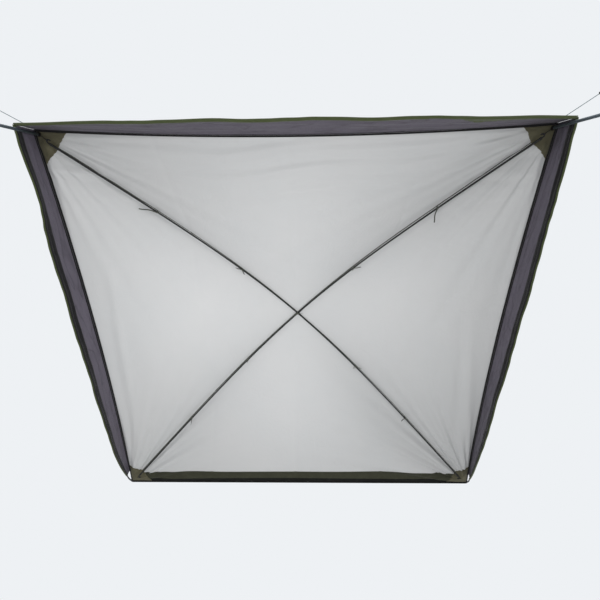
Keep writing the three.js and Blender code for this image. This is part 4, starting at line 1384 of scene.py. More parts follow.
@dataclass
class CornerPatch:
    """A three-sided reinforcement patch under a corner."""

    dome: Dome
    left: bool
    front: bool
    leg: float = 145.0
    front_start: float = 10.0
    mount_start: float = 12.0
    stitch_insets: tuple[float, float] = (4.0, 9.0)
    thickness: float = 1.3
    gap: float = 1.7

    @property
    def word(self) -> str:
        """The corner's end and side, for its names."""
        return f"{'front' if self.front else 'mount'}_{'left' if self.left else 'right'}"

    def build(self) -> None:
        """Builds and settles the patch."""
        piece = self.patch()
        settle(piece, "canopy", PATCH_CLOTH, f"{self.word}_patch")
        edge = np.linspace(0.04, 0.96, 60)
        rows = [self.underside(np.full_like(edge, 1 - inset / self.leg), edge) - (0, 0, 0.1)
                for inset in self.stitch_insets]
        STITCHING.sew(f"{self.word}_patch_stitches", rows, THREAD)

    def underside(self, share: Array, turn: Array) -> Array:
        """Finds points under the patch.

        Args:
            share: Share of the way from the corner to the inner edge.
            turn: Place along the inner edge, from 0 at one side to 1 at the other.

        Returns:
            The points, in millimetres.
        """
        dome = self.dome
        x, y = (-1 if self.left else 1), (-1 if self.front else 1)
        start = self.front_start if self.front else self.mount_start
        reach = self.leg * share
        across, along = start + reach * (1 - turn), start + reach * turn
        return dome.cloth_at(x * (1 - across / dome.half_width), y * (1 - along / dome.half_depth),
                             -self.gap - self.thickness)

    def patch(self) -> Piece:
        """Makes the patch, a fan of rows from the corner to its inner edge.

        Returns:
            The patch.
        """
        low = self.underside(*np.meshgrid(np.linspace(0, 1, 16), np.linspace(0, 1, 22), indexing="ij"))
        piece = band(f"{self.word}_patch_cloth", low, low + (0, 0, self.thickness), [PATCH_CLOTH])
        merge(piece)
        return piece


class Pole(Enum):
    """The two crossed poles: which way each runs and its rise at the crown."""

    UPPER = (1, 490.0)
    LOWER = (-1, 478.6)


@dataclass
class CrossPole:
    """A sectional pole under a diagonal seam, with its ribbon ties."""

    dome: Dome
    pole: Pole
    tip_height: float = -8.0
    outer_inset: float = 105.0
    mount_inset: float = 122.0
    radius: float = 5.5
    joint_gap: float = 0.3
    plug: float = 24.3
    plug_end: float = 28.0
    shock_radius: float = 1.3
    shares: tuple[float, ...] = (0, 0.243, 0.5, 0.757, 1)

    @property
    def word(self) -> str:
        """The pole's name in lower case."""
        return self.pole.name.lower()

    @property
    def diagonal(self) -> float:
        """The awning's diagonal."""
        return math.hypot(self.dome.width, self.dome.depth)

    @property
    def chord(self) -> float:
        """The ground length between the pole's tips."""
        return self.diagonal - self.outer_inset - self.mount_inset

    def axis(self, distance: Array) -> Array:
        """Finds the pole's axis.

        Args:
            distance: Distances over the ground from the outer corner, in millimetres.

        Returns:
            The points.
        """
        sign, rise = self.pole.value
        turn = math.pi * (distance - self.outer_inset - self.chord / 2) / self.chord
        return np.stack([
            sign * (distance * self.dome.width / self.diagonal - self.dome.half_width),
            distance * self.dome.depth / self.diagonal - self.dome.depth,
            self.tip_height + (rise - self.tip_height) * np.cos(turn),
        ], axis=-1)

    def place(self, distance: float) -> Place:
        """Finds a place on the axis, facing along the pole.

        Args:
            distance: Its distance over the ground from the outer corner, in millimetres.

        Returns:
            The place.
        """
        sign, rise = self.pole.value
        height = rise - self.tip_height
        turn = math.pi * (distance - self.outer_inset - self.chord / 2) / self.chord
        level = np.array([sign * self.dome.width, self.dome.depth, 0]) / self.diagonal
        onward = level - np.array([0, 0, height * math.sin(turn) * math.pi / self.chord])
        onward /= np.linalg.norm(onward)
        sideways = np.array([-level[1], level[0], 0])
        return Place(self.axis(np.array(distance)), onward, sideways, np.cross(onward, sideways))

    def build(self) -> None:
        """Builds and settles the four sections, the shock cord, both ends and the ties."""
        for number, shares in enumerate(zip(self.shares, self.shares[1:]), 1):
            start, end = (self.outer_inset + share * self.chord for share in shares)
            path = self.axis(np.linspace(start, end - self.joint_gap, 60))
            piece = PATH_ROD.rod(f"{self.word}_pole_rod_{number}", path, self.radius, POLE_ROD)
            settle(piece, "canopy", POLE_ROD, f"{self.word}_pole_section_{number}")
        first, last = self.outer_inset + self.plug, self.outer_inset + self.chord - self.plug_end
        inside = tube(f"{self.word}_pole_shock_braid", self.axis(np.linspace(first, last, 90)),
                      self.shock_radius, BLACK_BRAID, 8)
        settle(inside, "canopy", BLACK_BRAID, f"{self.word}_pole_shock_cord")
        for at_mount in (False, True):
            PoleTip(self, at_mount).build()
        for number, (share, ends) in TIES[self.pole].items():
            Tie(self.place(share * self.diagonal), ends, self.dome.ridge(abs(2 * share - 1))).build(
                f"{self.word}_pole_tie_{number}")


# Each tie's share of the diagonal from its pole's outer corner, and how far its two tails reach
# over the ground towards +X and +Y, in millimetres.
TIES = {
    Pole.UPPER: {
        1: (0.171, ((-84, -30), (30, 10))),
        2: (0.346, ((12, 30), (-42, -24))),
        4: (0.68, ((46, 10), (-14, 12))),
        5: (0.827, ((-30, 11), (31, 12))),
    },
    Pole.LOWER: {
        1: (0.167, ((-26, 74), (14, -24))),
        2: (0.34, ((46, -9), (-10, 16))),
        4: (0.657, ((6, -20), (-9, 18))),
        5: (0.827, ((11, -36), (-8, 42))),
    },
}
CROWN_TAILS = ((-30, 9), (38, -6))
# How far the crown tie's turns reach sideways and up, in mm: the first round both poles, then the other.
CROWN_TURNS = ((9.6, 12.8), (9.6, 12.2))
# Radius and height round the section of a pole's cap, in mm.
CAP_SECTION = ((0, 0.3), (5.9, 0.3), (6.3, 0.8), (6.3, 8.4), (6.0, 10.4), (4.9, 11.6), (3.4, 12), (0, 12))


@dataclass
class PoleTip:
    """The moulded cap on a pole's end, its upturned hook and the loop of cord in the hook."""

    pole: CrossPole
    at_mount: bool
    cap_length: float = 12.0
    wire_radius: float = 3.0
    hook_radius: float = 8.0
    hook_turn: float = 0.53
    shank: float = 5.0
    cord_radius: float = 1.0
    cord_bend: float = 5.0
    strand_gap: float = 1.3
    corner_inset: float = 22.0
    mount_end: tuple[float, float] = (64.7, -1.2)
    corner_end: tuple[float, float] = (13.7, -4.3)

    def build(self) -> None:
        """Builds and settles the cap with its hook, and the loop."""
        pole = self.pole
        word = f"{pole.word}_pole_{'mount' if self.at_mount else 'front'}_tip"
        seat = pole.place(pole.outer_inset + (pole.chord - pole.joint_gap if self.at_mount else 0))
        seat = seat if self.at_mount else seat.reversed()
        axis = Place(seat.origin, seat.sideways, seat.up, seat.onward)
        cap = lathe(f"{word}_cap", CAP_SECTION, axis, NYLON, 24)
        settle(join(f"{word}_moulding", [cap, self.hook(word, seat)]), "canopy", NYLON, word)
        left = (pole.pole is Pole.UPPER) != self.at_mount
        side = "left" if left else "right"
        start = seat.at(self.cap_length + self.shank, self.hook_side(seat) * self.hook_radius, 0)
        cord = self.loop(f"{side}_{'mount' if self.at_mount else 'corner'}_cord_loop", start,
                         self.loop_end(start, -1 if left else 1))
        settle(cord, "canopy", BLACK_BRAID, *([] if self.at_mount else [f"{side}_corner_cord"]))

    def hook(self, word: str, seat: Place) -> Piece:
        """Makes the wire hook with its rounded end.

        Args:
            word: The tip's name.
            seat: The pole's end, facing outwards.

        Returns:
            The hook.
        """
        last = -math.pi / 2 + 2 * math.pi * self.hook_turn
        turns = np.concatenate([np.linspace(-math.pi / 2, last, 16), last + np.array([0.15, 0.25, 0.3])])
        centre = self.cap_length + self.shank
        side = self.hook_side(seat)
        bend = seat.at(centre + self.hook_radius * np.cos(turns),
                       side * (self.hook_radius + self.hook_radius * np.sin(turns)), 0)
        straight = seat.at(np.array([self.cap_length - 2, self.cap_length + 1, centre - 1.5]))
        path = np.concatenate([straight, bend])
        radius = np.full(len(path), self.wire_radius)
        radius[-3:] = self.wire_radius * np.array([0.88, 0.6, 0.2])
        return tube(f"{word}_hook", path, radius, NYLON, 14, tuple(seat.up))

    def hook_side(self, seat: Place) -> int:
        """Returns 1 or -1, so that the hook bends towards the outer edge or the held edge."""
        return 1 if (seat.sideways[1] < 0) != self.at_mount else -1

    def loop_end(self, start: Array, x: int) -> Array:
        """Finds where the loop is sewn to the corner.

        Args:
            start: The middle of the hook's bend.
            x: -1 for a left corner, 1 for a right one.

        Returns:
            The point, in millimetres.
        """
        dome = self.pole.dome
        inset = 0 if self.at_mount else self.corner_inset
        corner = np.array([x * (dome.half_width - inset), 0 if self.at_mount else inset - dome.depth, 0])
        inward = (start - corner) * (1, 1, 0)
        inward /= np.linalg.norm(inward)
        reach, height = self.mount_end if self.at_mount else self.corner_end
        return corner + inward * reach + np.array([0, 0, height])

    def loop(self, name: str, start: Array, end: Array) -> Piece:
        """Makes a loop of cord whose two strands run close together, one over the other.

        Args:
            name: The piece's name.
            start: The middle of the hook's bend, where the loop hangs.
            end: Where both strands end.

        Returns:
            The loop.
        """
        reach = float(np.linalg.norm((end - start) * (1, 1, 0)))
        onward = (end - start) * (1, 1, 0) / reach
        away = Place(start, onward, np.cross((0, 0, 1), onward), np.array([0, 0, 1.0]))
        fall = end[2] - start[2]
        bight = self.hook_radius - self.wire_radius - self.cord_radius - 0.3
        bend = self.cord_bend
        free = bight + 2 * bend
        half = [(bight, 0, 0), (bight + 0.3 * bend, 0.71 * bend, 0), (bight + bend, bend, 0),
                (free, 0.84 * bend, 0.2), (free + (reach - free) * 0.4, self.strand_gap + 0.9, 0.48),
                (free + (reach - free) * 0.7, self.strand_gap, 0.79), (reach, self.strand_gap, 1)]
        there = [away.at(x, 0, share * fall - y) for x, y, share in half[:0:-1]]
        back = [away.at(x, 0, share * fall + y) for x, y, share in half]
        path = rounded_path(np.array(there + back), 90)
        return tube(name, path, self.cord_radius, BLACK_BRAID, 10, tuple(away.sideways))


@dataclass
class Tie:
    """A woven ribbon tied round a pole: a loop, a stem up to the seam, a knot and two tails."""

    place: Place
    tails: tuple[tuple[float, float], ...]
    ridge: float
    half_wide: float = 6.1
    half_high: float = 6.1
    width: float = 6.5
    thickness: float = 0.8
    knot: float = 3.4
    knot: float = 3.4
    knot_turn: float = 0.6
    squareness: float = 0.85
    wobble: float = 0.07
    droop: tuple[float, float] = (0.1, 0.3)
    twist: float = 0.5

    def build(self, node: str, *turns: Piece) -> None:
        """Builds and settles the tie.

        Args:
            node: The CAD node that it stands for.
            *turns: Turns of ribbon that it has besides its loop.
        """
        loop = self.wrap("loop", self.place, self.half_wide, self.half_high)
        parts = [*turns, loop, self.stem(), *self.knot_bands()]
        parts += [self.tail(number, end) for number, end in enumerate(self.tails)]
        settle(join(f"{node}_ribbon", parts), "canopy", RIBBON, node)

    def wrap(self, name: str, place: Place, wide: float, high: float) -> Piece:
        """Makes a closed turn of ribbon round a place's onward direction.

        Args:
            name: The turn's name.
            place: The place that it goes round.
            wide: Its reach sideways, in millimetres.
            high: Its reach up and down.

        Returns:
            The turn.
        """
        cos, sin = circle(30, self.squareness)
        path = place.at(0, wide * cos, high * sin)
        return ribbon(name, path, place.onward, self.width, self.thickness, RIBBON, closed_path=True)

    def stem(self) -> Piece:
        """Makes the doubled ribbon from the loop up to the seam.

        Returns:
            The stem.
        """
        top = (self.ridge - self.place.origin[2]) * self.place.up[2] - 1.2
        heights = np.linspace(self.half_high - 0.2, max(top, self.half_high + 0.6), 6)
        return ribbon("stem", self.place.at(0, 0, heights), self.place.onward, self.width,
                      2 * self.thickness, RIBBON)

    def knot_bands(self) -> list[Piece]:
        """Makes the two crossed turns of the knot under the pole.

        Returns:
            The turns.
        """
        place = self.place
        middle = place.at(0, 0, -self.half_high - self.knot)
        cos, sin = math.cos(self.knot_turn), math.sin(self.knot_turn)
        crossed = [Place(middle, place.onward * cos + place.sideways * side * sin,
                         place.sideways * cos - place.onward * side * sin, place.up) for side in (-1, 1)]
        return [self.wrap(f"knot_{number}", turned, self.knot + number, self.knot)
                for number, turned in enumerate(crossed)]

    def tail(self, number: int, end: tuple[float, float]) -> Piece:
        """Makes a tail that leaves the knot, bends down and twists a little.

        Args:
            number: The tail's number, for its name and twist.
            end: How far the tail reaches over the ground, in millimetres.

        Returns:
            The tail.
        """
        reach = math.hypot(*end)
        onward = np.array([end[0] / reach, end[1] / reach, 0])
        level = np.cross((0, 0, 1), onward)
        start = self.place.at(0, 0, -self.half_high - self.knot)
        share = np.linspace(0, 1, 24)[:, None]
        wobble = level * self.wobble * reach * np.sin(share * 5.2 + number) * share
        droop = np.array([0, 0, -1]) * reach * (self.droop[0] * share + self.droop[1] * share ** 2)
        twist = (self.twist + number) * share ** 1.4
        flat = level * np.cos(twist) + np.array([0, 0, 1]) * np.sin(twist)
        return ribbon(f"tail_{number}", start + onward * reach * share + wobble + droop, flat, self.width,
                      self.thickness, RIBBON)


def crown_tie(dome: Dome) -> None:
    """Builds the tie that holds both poles where they cross, with a turn each way round them.

    Args:
        dome: The shape of the cloth above it.
    """
    middle = sum(pole.value[1] for pole in Pole) / 2
    place = Place(np.array([0, -dome.half_depth, middle]), np.array([1.0, 0, 0]), np.array([0, 1.0, 0]),
                  np.array([0, 0, 1.0]))
    tie = Tie(place, CROWN_TAILS, dome.rise, *CROWN_TURNS[0])
    crossed = Place(place.origin, place.sideways, -place.onward, place.up)
    tie.build("crown_tie", tie.wrap("second_turn", crossed, *CROWN_TURNS[1]))


class Growth:
    """A Geometry Nodes tree that makes a piece from paths, with a named input for each of its sizes."""

    label = ""
    sizes: dict[str, str] = {}

    def __init__(self) -> None:
        """Builds the tree: its inputs, the shape, then the material."""
        tree = bpy.data.node_groups.new(self.label, "GeometryNodeTree")
        tree.interface.new_socket("Geometry", in_out="OUTPUT", socket_type="NodeSocketGeometry")
        self.inputs = {}
        for name, kind in {"Path": "Geometry", **self.sizes, "Material": "Material"}.items():
            socket = tree.interface.new_socket(name, in_out="INPUT", socket_type=f"NodeSocket{kind}")
            self.inputs[name] = socket.identifier
        given = add_node(tree, "NodeGroupInput").outputs
        real = add_node(tree, "GeometryNodeRealizeInstances", {"Geometry": self.shape(tree, given)})
        dressed = add_node(tree, "GeometryNodeSetMaterial", {
            "Geometry": real.outputs["Geometry"], "Material": given["Material"],
        })
        add_node(tree, "NodeGroupOutput", {0: dressed.outputs["Geometry"]})
        self.tree = tree

    def shape(self, tree: Tree, given: Mapping[str, Socket]) -> Socket:
        """Adds to the tree the nodes that make the shape from its inputs, and returns the last socket."""
        raise NotImplementedError

    def grow(self, name: str, paths: list[Array], finish: Finish, sizes: dict[str, float | Triple]) -> Piece:
        """Grows a piece on paths and keeps it as a plain mesh.

        Args:
            name: The piece's name.
            paths: The paths, in millimetres.
            finish: Its finish.
            sizes: The value of each of the tree's sizes, in metres.

        Returns:
            The piece.
        """
        edges, first = [], 0
        for path in paths:
            edges += [(first + k, first + k + 1) for k in range(len(path) - 1)]
            first += len(path)
        piece = new_object(name, np.concatenate(paths), [], [], edges=edges)
        modifier = piece.modifiers.new("growth", "NODES")
        modifier.node_group = self.tree
        for label, value in {**sizes, "Material": finish.material()}.items():
            modifier[self.inputs[label]] = value
        bpy.context.view_layer.update()
        result = bpy.data.meshes.new_from_object(piece.evaluated_get(bpy.context.evaluated_depsgraph_get()))
        piece.modifiers.clear()
        piece.data = result
        result.name = name
        if not result.materials:
            result.materials.append(finish.material())
        return piece


class PathRod(Growth):
    """Grows a round rod along a path."""

    label = "rod along a path"
    sizes = {"Radius": "Float", "Sides": "Int"}

    def shape(self, tree: Tree, given: Mapping[str, Socket]) -> Socket:
        """Adds a circle drawn along the path, with caps.

        Args:
            tree: The tree that takes the nodes.
            given: The tree's inputs by name.

        Returns:
            The rod.
        """
        curve = add_node(tree, "GeometryNodeMeshToCurve", {"Mesh": given["Path"]})
        section = add_node(tree, "GeometryNodeCurvePrimitiveCircle", {
            "Resolution": given["Sides"], "Radius": given["Radius"],
        })
        rod = add_node(tree, "GeometryNodeCurveToMesh", {
            "Curve": curve.outputs["Curve"], "Profile Curve": section.outputs["Curve"], "Fill Caps": True,
        })
        smooth = add_node(tree, "GeometryNodeSetShadeSmooth", {"Geometry": rod.outputs["Mesh"]})
        return smooth.outputs["Geometry"]

    def rod(self, name: str, path: Array, radius: float, finish: Finish, sides: int = 16) -> Piece:
        """Grows a rod along a path, its radius in millimetres, with so many faces round it."""
        return self.grow(name, [path], finish, {"Radius": radius * MILLIMETRE, "Sides": sides})


class Stitching(Growth):
    """Lays stitches along paths, evenly spaced."""

    label = "stitches along a path"
    sizes = {"Spacing": "Float", "Half Size": "Vector"}
    spacing = 4.5 * MILLIMETRE
    half_size = (1.5 * MILLIMETRE, 0.4 * MILLIMETRE, 0.4 * MILLIMETRE)

    def shape(self, tree: Tree, given: Mapping[str, Socket]) -> Socket:
        """Adds a stitch at each step of the paths, turned along them.

        Args:
            tree: The tree that takes the nodes.
            given: The tree's inputs by name.

        Returns:
            The stitches.
        """
        curve = add_node(tree, "GeometryNodeMeshToCurve", {"Mesh": given["Path"]})
        points = add_node(tree, "GeometryNodeCurveToPoints", {
            "Curve": curve.outputs["Curve"], "Length": given["Spacing"],
        }, mode="LENGTH")
        stitch = add_node(tree, "GeometryNodeMeshIcoSphere", {"Radius": 1.0, "Subdivisions": 1})
        turn = add_node(tree, "FunctionNodeAlignRotationToVector", {
            "Vector": points.outputs["Tangent"],
        }, axis="X")
        row = add_node(tree, "GeometryNodeInstanceOnPoints", {
            "Points": points.outputs["Points"], "Instance": stitch.outputs["Mesh"],
            "Rotation": turn.outputs["Rotation"], "Scale": given["Half Size"],
        })
        return row.outputs["Instances"]

    def sew(self, name: str, rows: list[Array], finish: Finish) -> None:
        """Sews rows of lockstitch on the canopy."""
        sizes = {"Spacing": self.spacing, "Half Size": self.half_size}
        settle(self.grow(name, rows, finish, sizes), "canopy", finish)


class RibRing(Growth):
    """Stands a round rib on each point of a ring."""

    label = "ribs on a ring"
    sizes = {"Radius": "Float", "Height": "Float"}

    def shape(self, tree: Tree, given: Mapping[str, Socket]) -> Socket:
        """Adds a cylinder on each point.

        Args:
            tree: The tree that takes the nodes.
            given: The tree's inputs by name.

        Returns:
            The ribs.
        """
        rib = add_node(tree, "GeometryNodeMeshCylinder", {
            "Vertices": 12, "Radius": given["Radius"], "Depth": given["Height"],
        })
        ring = add_node(tree, "GeometryNodeInstanceOnPoints", {
            "Points": given["Path"], "Instance": rib.outputs["Mesh"],
        })
        return ring.outputs["Instances"]

    def ribs(self, name: str, ring: Array, radius: float, height: float, finish: Finish) -> Piece:
        """Grows ribs of a radius and a height in millimetres, with their middles on a ring."""
        return self.grow(name, [ring], finish, {"Radius": radius * MILLIMETRE, "Height": height * MILLIMETRE})


# Outline of the guy line's runner: places along it in mm, and its size there as a share of its largest.
RUNNER_STOPS = np.array([-18, -17.5, -16, -12, -6, 0, 6, 12, 16, 17.5, 18])
RUNNER_SHARES = np.array([0.66, 0.82, 0.94, 1, 0.92, 0.86, 0.92, 1, 0.94, 0.82, 0.66])


@dataclass
class GuyLine:
    """A taut guy line from the upright's pin, with an eye at each end and its runner."""

    word: str
    pin: tuple[float, float]
    turn: float
    radius: float = 1.5
    across: tuple[float, float] = (0.77, 0.64)
    runner_reach: tuple[float, float] = (7.0, 4.5)
    runner_sides: int = 24
    squareness: float = 0.7
    bore: float = 1.9
    runner_from: Triple = (122.2, 0, -105.7)
    runner_to: Triple = (158.8, 0, -153.2)
    route: tuple[Triple, ...] = (
        (15, 2.6, 4.8), (10, 5.2, 4.8), (5.2, 7.2, 4.8), (0, 8.2, 4.8), (-5.8, 5.8, 4.8), (-8.2, 0, 4.8),
        (-5.8, -5.8, 4.8), (0, -8.2, 4.8), (5.2, -7, 4.8), (10, -4.6, 4.8), (15, -2, 4.8), (22, -0.3, 4.8),
        (30, 0, 4.8), (36, 0, 4.1), (41, 0, 1), (45.1, 0, -4.9), (49, 0, -10.5), (67.3, 0, -34.3),
        (85.6, 0, -58.1), (103.9, 0, -81.9), (122.2, 0, -105.7), (140.5, 0, -129.5), (158.8, 0, -153.2),
        (174.1, 0, -173.1), (180.2, 1.6, -181), (185, 5.2, -187.3), (189.5, 7.5, -193.1),
        (192.8, 7.5, -197.4), (195.2, 4.6, -200.5), (196, 0, -201.6), (195.2, -4.6, -200.5),
        (192.8, -7.5, -197.4), (189.5, -7.5, -193.1), (185, -5.4, -187.3), (180.8, -2.6, -181.8),
    )

    @property
    def pin_place(self) -> Place:
        """The upright's pin, facing along the line."""
        return Place.standing(*self.pin, self.turn * math.pi)

    def build(self) -> None:
        """Builds and settles the line."""
        path = rounded_path(self.pin_place.at(*np.array(self.route).T), 150)
        line = tube(f"{self.word}_guy_cord", path, self.radius, GUY_BRAID, 12, self.side_direction())
        settle(line, "canopy", GUY_BRAID, f"{self.word}_guy_line")
        self.runner()

    def runner(self) -> Piece:
        """Makes the waisted runner, a closed shell round the bore that the line passes through.

        Returns:
            The runner.
        """
        base = self.pin_place
        low, high = base.at(*self.runner_from), base.at(*self.runner_to)
        onward = (high - low) / np.linalg.norm(high - low)
        place = Place((low + high) / 2, onward, base.sideways, np.cross(onward, base.sideways))
        wide, tall = (RUNNER_SHARES[:, None] * reach for reach in self.runner_reach)
        cos, sin = circle(self.runner_sides, self.squareness)
        outside = place.at(RUNNER_STOPS[:, None], wide * cos, tall * sin)
        cos, sin = circle(self.runner_sides)
        inside = place.at(RUNNER_STOPS[::-1, None], self.bore * cos, self.bore * sin)
        rings = np.concatenate([outside, inside])
        piece = loft(f"{self.word}_guy_runner_moulding", rings, [NYLON], closed_path=True)
        piece.data.set_sharp_from_angle(angle=math.radians(40))
        return settle(piece, f"{self.word}_runner", NYLON, f"{self.word}_guy_runner")

    def side_direction(self) -> Triple:
        """Finds a direction that is never along the line, to keep its rings from turning over."""
        level, up = self.across
        return level * math.cos(self.turn * math.pi), level * math.sin(self.turn * math.pi), up


# Each upright's side, the place of its pin across the awning in mm, and its guy line's direction in half
# turns from +X, then the place of both pins along the awning.
UPRIGHTS = (("left", -1228.0, 1.256), ("right", 1228.0, 1.7))
PIN_Y = -2298.0
# Sections of the turned pieces: radius and height round each, in mm from the grommet's middle.
EYELET_SECTION = (
    (5.0, -2.9), (5.3, -3.4), (6.4, -3.5), (9.6, -3.4), (10.7, -3.1), (11, -2.6), (10.8, -2.3), (6.2, -2.3),
    (6.2, 1.7), (10.8, 1.7), (11, 2.0), (10.7, 2.5), (9.6, 2.8), (6.4, 2.9), (5.3, 2.8), (5.0, 2.3),
)
COLLAR_SECTION = (
    (9.1, -1032), (12.2, -1032), (12.8, -1031.7), (13, -1031), (13, -981.5), (12.6, -980.5),
    (11.6, -980), (7.6, -980), (7.6, -985.4), (10.6, -985.4), (10.6, -1011.8), (9.1, -1011.8),
)
BALL_SECTION = [(4.7 * math.cos(t), -0.3 + 4.7 * math.sin(t)) for t in np.linspace(-0.73, 0.88, 9)]
SPIGOT_SECTION = (
    (0, -42), (5.0, -42), (5.4, -41.4), (5.4, -11.7), (6.75, -11.7), (6.75, -7.1), (6.35, -6.7), (3.5, -6.7),
    *BALL_SECTION, (3, 25), (2.2, 27), (0, 28),
)
UPPER_SECTION = ((5.55, -1162), (6.5, -1162), (6.75, -1161.6), (6.75, -12.4), (6.5, -12), (5.55, -12))
LOWER_SECTION = ((7.3, -1991.7), (8.5, -1991.7), (8.5, -1012.3), (8.2, -1012), (7.3, -1012))
FOOT_SECTION = (
    (0, -2000), (18.8, -2000), (20, -1998.8), (20, -1995), (19, -1994), (13.5, -1991), (12, -1988),
    (12, -1966), (11.2, -1965), (8.8, -1965), (8.8, -1992), (0, -1992),
)
# Name, body, section and finish of each turned piece.
TURNED = (
    ("spigot", "upright", SPIGOT_SECTION, NYLON),
    ("upper_tube", "upright", UPPER_SECTION, ALUMINIUM),
    ("lower_tube", "lower_pole", LOWER_SECTION, ALUMINIUM),
    ("foot", "lower_pole", FOOT_SECTION, RUBBER),
)


@dataclass
class Upright:
    """A telescopic upright: spigot, two tubes, clamp bush, twist collar and foot."""

    word: str
    x: float
    ribs: int = 8
    rib_ring: float = 12.7
    rib_height: float = 46.0
    rib_middle: float = -1006.0
    rib_radius: float = 1.5

    def build(self) -> None:
        """Builds and settles the upright's pieces."""
        axis = Place.standing(self.x, PIN_Y)
        for name, body, section, finish in TURNED:
            piece = lathe(f"{self.word}_{name}_turned", section, axis, finish)
            settle(piece, f"{self.word}_{body}", finish, f"{self.word}_{name}")
        eyelet = lathe(f"{self.word}_eyelet", EYELET_SECTION, axis, PLATED_BRASS, 40)
        settle(eyelet, "canopy", PLATED_BRASS, f"{self.word}_grommet")
        self.collar(axis)

    def collar(self, axis: Place) -> None:
        """Builds and settles the twist collar with its ribs.

        Args:
            axis: The upright's axis.
        """
        shell = lathe(f"{self.word}_collar_shell", COLLAR_SECTION, axis, NYLON)
        cos, sin = circle(self.ribs)
        ring = axis.at(self.rib_ring * cos, self.rib_ring * sin, self.rib_middle)
        ribs = RIB_RING.ribs(f"{self.word}_collar_ribs", ring, self.rib_radius, self.rib_height, NYLON)
        settle(join(f"{self.word}_twist_collar", [shell, ribs]), f"{self.word}_collar", NYLON,
               f"{self.word}_lock_collar")


@dataclass(frozen=True)
class Lamp:
    """A soft square lamp: where it stands and aims and its side in metres, and its power in watts."""

    name: str
    place: Triple
    aim: Triple
    side: float
    power: float

    def build(self) -> None:
        """Adds the lamp, which lights the awning and isn't seen itself."""
        data = bpy.data.lights.new(self.name, "AREA")
        data.size, data.energy = self.side, self.power
        lamp = stand(self.name, data)
        lamp.location = self.place
        lamp.rotation_euler = (Vector(self.aim) - Vector(self.place)).to_track_quat("-Z", "Y").to_euler()
        lamp.visible_camera = lamp.visible_glossy = False


LAMPS = (
    Lamp("under", (-0.1, -1.2, -0.6), (-0.1, -1.2, 0.4), 0.9, 4.7),
    Lamp("front", (0.1, -1.9, -1.0), (0.1, -1.7, 0.4), 1.4, 2.0),
    Lamp("key", (4.5, -1.8, -0.9), (-0.5, -1.9, 5.0), 1.8, 76),
    Lamp("low", (-1.2, -4.4, -1.45), (-0.2, -1.2, 2.6), 0.9, 18),
    Lamp("top", (-2.4, 1.6, 4.4), (0, -1.2, 0), 3.5, 100),
)


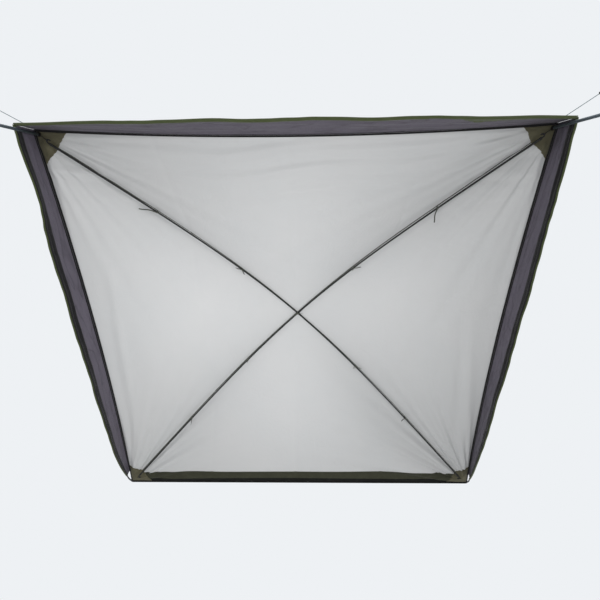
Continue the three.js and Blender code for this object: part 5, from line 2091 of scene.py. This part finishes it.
@dataclass
class Studio:
    """Camera, floor and pale surroundings."""

    position: Triple = (51.1, -2006.8, -1579.8)
    azimuth: float = -2.377
    elevation: float = 70.258
    roll: float = 1.992
    focal: float = 290.3
    frame_width: float = 600.0
    sensor: float = 36.0
    ground: float = -2000.0
    floor_reach: float = 30.0
    floor_drop: float = 0.5
    light: tuple[str, float] = ("#f5f6f7", 0.62)
    backdrop: tuple[str, float] = ("#eef1f4", 1.0)
    floor_colour: str = "#e6e6e4"
    floor_roughness: float = 0.9
    near: float = 0.02

    def build(self) -> None:
        """Builds the camera, the surroundings, the floor and the lamps."""
        self.camera()
        self.surroundings()
        self.floor()
        for lamp in LAMPS:
            lamp.build()

    def camera(self) -> None:
        """Sets the camera at the photograph's viewing angle."""
        azimuth, elevation, roll = (math.radians(v) for v in (self.azimuth, self.elevation, self.roll))
        forward = Vector((math.sin(azimuth) * math.cos(elevation), math.cos(azimuth) * math.cos(elevation),
                          math.sin(elevation)))
        right = Vector((math.cos(azimuth), -math.sin(azimuth), 0))
        up = right.cross(forward)
        side = right * math.cos(roll) + up * math.sin(roll)
        top = up * math.cos(roll) - right * math.sin(roll)
        data = bpy.data.cameras.new("camera")
        data.sensor_width = self.sensor
        data.lens = self.focal / self.frame_width * self.sensor
        data.clip_start = self.near
        camera = stand("camera", data)
        camera.matrix_world = Matrix.Translation(Vector(self.position) * MILLIMETRE) @ Matrix(
            (side, top, -forward)).transposed().to_4x4()
        bpy.context.scene.camera = camera

    def surroundings(self) -> None:
        """Lights the object evenly and shows a pale background behind it."""
        world = bpy.data.worlds.new("surroundings")
        tree = emptied(world)
        path = add_node(tree, "ShaderNodeLightPath").outputs
        seen = path["Is Camera Ray"]
        for ray in ("Is Glossy Ray", "Is Transmission Ray"):
            seen = add_node(tree, "ShaderNodeMath", {0: seen, 1: path[ray]}, operation="MAXIMUM").outputs[0]
        lit, shown = (add_node(tree, "ShaderNodeBackground", {"Color": linear(colour), "Strength": strength})
                      for colour, strength in (self.light, self.backdrop))
        mix = add_node(tree, "ShaderNodeMixShader", {
            0: seen, 1: lit.outputs[0], 2: shown.outputs[0],
        })
        add_node(tree, "ShaderNodeOutputWorld", {"Surface": mix.outputs[0]})
        bpy.context.scene.world = world
        bpy.context.scene.view_settings.view_transform = "Standard"

    def floor(self) -> None:
        """Lays the pale floor under the feet."""
        material = bpy.data.materials.new("pale_studio_floor")
        tree = emptied(material)
        shader = add_node(tree, "ShaderNodeBsdfPrincipled", {
            "Base Color": linear(self.floor_colour), "Roughness": self.floor_roughness,
        })
        add_node(tree, "ShaderNodeOutputMaterial", {"Surface": shader.outputs["BSDF"]})
        mesh = bpy.data.meshes.new("floor")
        reach, level = self.floor_reach, (self.ground - self.floor_drop) * MILLIMETRE
        corners = ((-1, -1), (1, -1), (1, 1), (-1, 1))
        mesh.from_pydata([(x * reach, y * reach, level) for x, y in corners], [], [(0, 1, 2, 3)])
        mesh.materials.append(material)
        stand("floor", mesh)


def dress_cad_nodes() -> None:
    """Gives every CAD node that stays in view its material."""
    finishes = {finish.slot: finish for finish in (
        SILVER_CLOTH, OLIVE_CLOTH, PATCH_CLOTH, BLACK_WEBBING, RIBBON, POLE_ROD, NYLON, ALUMINIUM,
        PLATED_BRASS, GUY_BRAID, BLACK_BRAID, ROPE_CORE, RUBBER)}
    for row in frame["record"]["subparts"]:
        node = bpy.data.objects.get(row["node"])
        if node is None or node.hide_render:
            continue
        node.data.materials.clear()
        node.data.materials.append(finishes[row["material_slot"]].material())
        log.info("%s keeps its CAD shape", node.name)


def main() -> None:
    """Builds the awning class by class."""
    Studio().build()
    for word, x, turn in UPRIGHTS:
        GuyLine(word, (x, PIN_Y), turn).build()
    dome = Dome()
    Canopy(dome).build()
    for side in Side:
        Valance(dome, side).build()
    HeldEdge(dome).build()
    for left in (True, False):
        for front in (True, False):
            CornerPatch(dome, left, front).build()
    for pole in Pole:
        CrossPole(dome, pole).build()
    crown_tie(dome)
    for word, x, _ in UPRIGHTS:
        Upright(word, x).build()
    dress_cad_nodes()


PATH_ROD = PathRod()
STITCHING = Stitching()
RIB_RING = RibRing()

if __name__ == "__main__":
    main()
